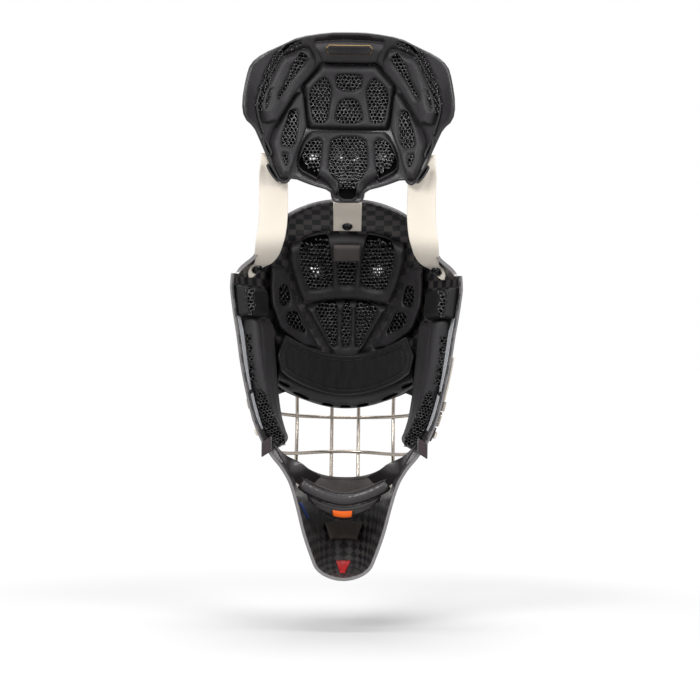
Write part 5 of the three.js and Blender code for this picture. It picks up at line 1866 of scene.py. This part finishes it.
@dataclass
class JawHardware:
    """Webbing, caps, hooks, loops and snaps on the jaw, and the finish of the cage's clips and screws."""

    clear: float = 0.5
    thickness: float = 1.6
    loop_clear: float = 2.4
    half_turn: float = 0.034
    turns: tuple = (("l", 0.885), ("r", 0.955))

    def outside(self, side: float, turn: float, z: float, depth: float) -> Array:
        """Point outside the shell."""
        return np.ravel(SHELL.skin(z, side * turn, -depth))

    def sheet(self, node: str, part: str, side: float, turn: float, ends: tuple, half: float,
              thickness: float, finish: Material, slot: str) -> None:
        """Strip of webbing or metal on the outside of the jaw that stands for a node.

        Args:
            node: the node.
            part: ending of the piece's name.
            side: -1 for the left, 1 for the right.
            turn: where its middle lies on the shell.
            ends: heights of its two ends.
            half: half of its width, as a turn.
            thickness: its thickness.
            finish: its material.
            slot: its slot.
        """
        zs = np.linspace(*ends, 6)
        depth = self.clear + thickness / 2
        points = [self.outside(side, turn, z, depth) for z in zs]
        acrosses = [self.outside(side, turn + half, z, depth) - self.outside(side, turn - half, z, depth)
                    for z in zs]
        width = float(np.linalg.norm(acrosses[2]))
        strip = ribbon(f"{node}.{part}", points, acrosses, lambda share: width, thickness, finish, 40)
        seat(strip, "shell", slot, node)

    def loop(self, tag: str, side: float) -> None:
        """Brown elastic loop round the rim."""
        depth, wall = self.loop_clear, SHELL.wall
        rows = []
        for k, turn in enumerate((0.93, 0.965, 1, 1, 1, 0.965, 0.93)):
            layer, back = (-depth if k < 3 else wall + depth), (depth * 0.6 if k in (2, 4) else 0.0)
            if k == 3:
                layer, back = wall / 2, depth
            rows.append(np.ravel(SHELL.skin(LOOP_Z, side * turn, layer) + (0, -back, 0)))
        loop = ribbon(f"jaw_loop_{tag}.web", rows, [(0, 0, 1)] * 7, lambda share: 15.0, 1.8, DARK_WEB, 60)
        seat(loop, "shell", "dark_elastic", f"jaw_loop_{tag}")

    def build(self) -> None:
        """Makes the hardware of both sides, and gives the cage's clips and screws their finish."""
        snaps, half, top = Tethers(), self.half_turn, self.clear + self.thickness
        for tag, side in SIDES:
            turn = dict(self.turns)[tag]
            for node, part, ends, reach, thickness, finish, slot in (
                    ("outer_strap", "web", (-6, -50), half, self.thickness, CREAM, "elastic"),
                    ("strap_cap", "metal", (-50.3, -60), half * 1.1, 3.2, STEEL, "steel"),
                    ("jaw_strap", "web", (-77, -90.5), half / 2, self.thickness, DARK_WEB, "dark_elastic")):
                self.sheet(f"{node}_{tag}", part, side, turn, ends, reach, thickness, finish, slot)
            ring = [self.outside(side, turn + way * half / 2, z, top)
                    for z, way in ((-63.2, -1), (-63.2, 1), (-73.5, 1), (-73.5, -1))]
            hook = wire(f"jaw_hook_{tag}.metal", through(ring, 60, True), 1.2, STEEL, closed=True)
            seat(hook, "shell", "steel", f"jaw_hook_{tag}")
            foot, tip = (self.outside(side, turn, -83.75, top + lift) for lift in (0.6, 2.4))
            snaps.snap(f"jaw_snap_{tag}", "cap", foot, tip - foot, CREAM, "", 0.7)
            self.loop(tag, side)
        for node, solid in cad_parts.items():
            if node.startswith(("cage_clip", "clip_screw")):
                solid.data.materials.clear()
                solid.data.materials.append(STEEL)


@dataclass
class Trim:
    """Bare tags, stickers, piping and lattice strips that lie on the walls."""

    middle: float = 349.5

    def plate(self) -> None:
        """Makes the trim of the back plate."""
        def at(points: Sequence, depth: float) -> Array:
            """Points of the frame on the plate."""
            return traced(points, on_plate, depth, self.middle)

        edge = [(326, 48), (329, 45), (370, 45), (373, 48.5), (371, 54.5), (328, 54.5)]
        for name, finish, inset_px, lift in (("border", GOLD, 0.0, 12.35), ("face", PLASTIC, 0.55, 12.65)):
            shape = [(x + (inset_px if x < 349 else -inset_px), y + (inset_px if y < 50 else -inset_px))
                     for x, y in edge]
            face = patch(f"back_neck_pad.tag_{name}", at(shape, 12.5), on_plate, lift, 0.35, finish, 0)
            seat(face, "back_plate", "")
        edge_of_plate = BackPlate().outline()
        piping = [(281, 50), (278, 55), (270, 72), (262, 90), (258, 105), (259, 115), (262, 126), (265, 135)]
        bands = (
            [(279, 53), (284, 52), (281, 62), (276, 75), (270, 86), (266, 100), (265, 110), (261, 112),
             (262, 98), (265, 86), (271, 71)],
            [(285, 46), (300, 40), (313, 36), (330, 33), (349.5, 32), (349.5, 35), (330, 36), (314, 39.5),
             (302, 44), (287, 50)])
        for tag, side in SIDES:
            flat = at(piping, 1.5) * (-side, 1)
            path = on_plate(*through(flat, 60).T, 1.3)
            seat(wire(f"back_plate.piping_{tag}", path, 1.1, PIPING), "back_plate", "cloth")
            for k, band in enumerate(bands):
                window = rounded(at(band, 4.0) * (-side, 1), 1.0, 1)
                for layer, lift in enumerate((4.2, 2.4)):
                    lattice(f"back_plate.strip{k + 1}{tag}{'ab'[layer]}", "back_plate", window, on_plate,
                            lambda p, h=lift: np.full(len(p), h), 3.4, 31 * k + layer, edge_of_plate)

    def shell(self) -> None:
        """Makes the bare stickers inside the shell."""
        for name, finish, points in (("red", RED, [(337, 561), (352, 561), (346.5, 573), (341.5, 573)]),
                                     ("blue", BLUE, [(300, 503), (303, 503), (311, 519), (308, 519)])):
            flat = traced(points, on_shell, 0.3, 344.5)
            seat(patch(f"shell.sticker_{name}", flat, on_shell, 0.35, 0.35, finish, 0), "shell", "")
        upper = [(-85, 46), (-76, 44), (-64, 20), (-61, -10), (-66, -42), (-80, -42), (-84, -10), (-86, 20)]
        lower = [(-78, -47), (-60, -45), (-53, -70), (-50, -82), (-62, -83), (-74, -70)]
        for tag, side in SIDES:
            for part, edge in (("upper", upper), ("lower", lower)):
                sheet = patch(f"shell.silver_{part}_{tag}", np.array(edge, float), on_wall(side), 0.25, 0.35,
                              SILVER, 0)
                seat(sheet, "shell", "")

    def build(self) -> None:
        """Makes all the trim."""
        self.plate()
        self.shell()


def main() -> None:
    """Builds the studio and the mask, piece by piece."""
    logging.basicConfig(level=logging.INFO, format="%(message)s")
    for part in (Studio, Shell, Cage, Liner, BackPlate, Tethers, ChinCup, JawHardware, Trim):
        part().build()


if __name__ == "__main__":
    main()
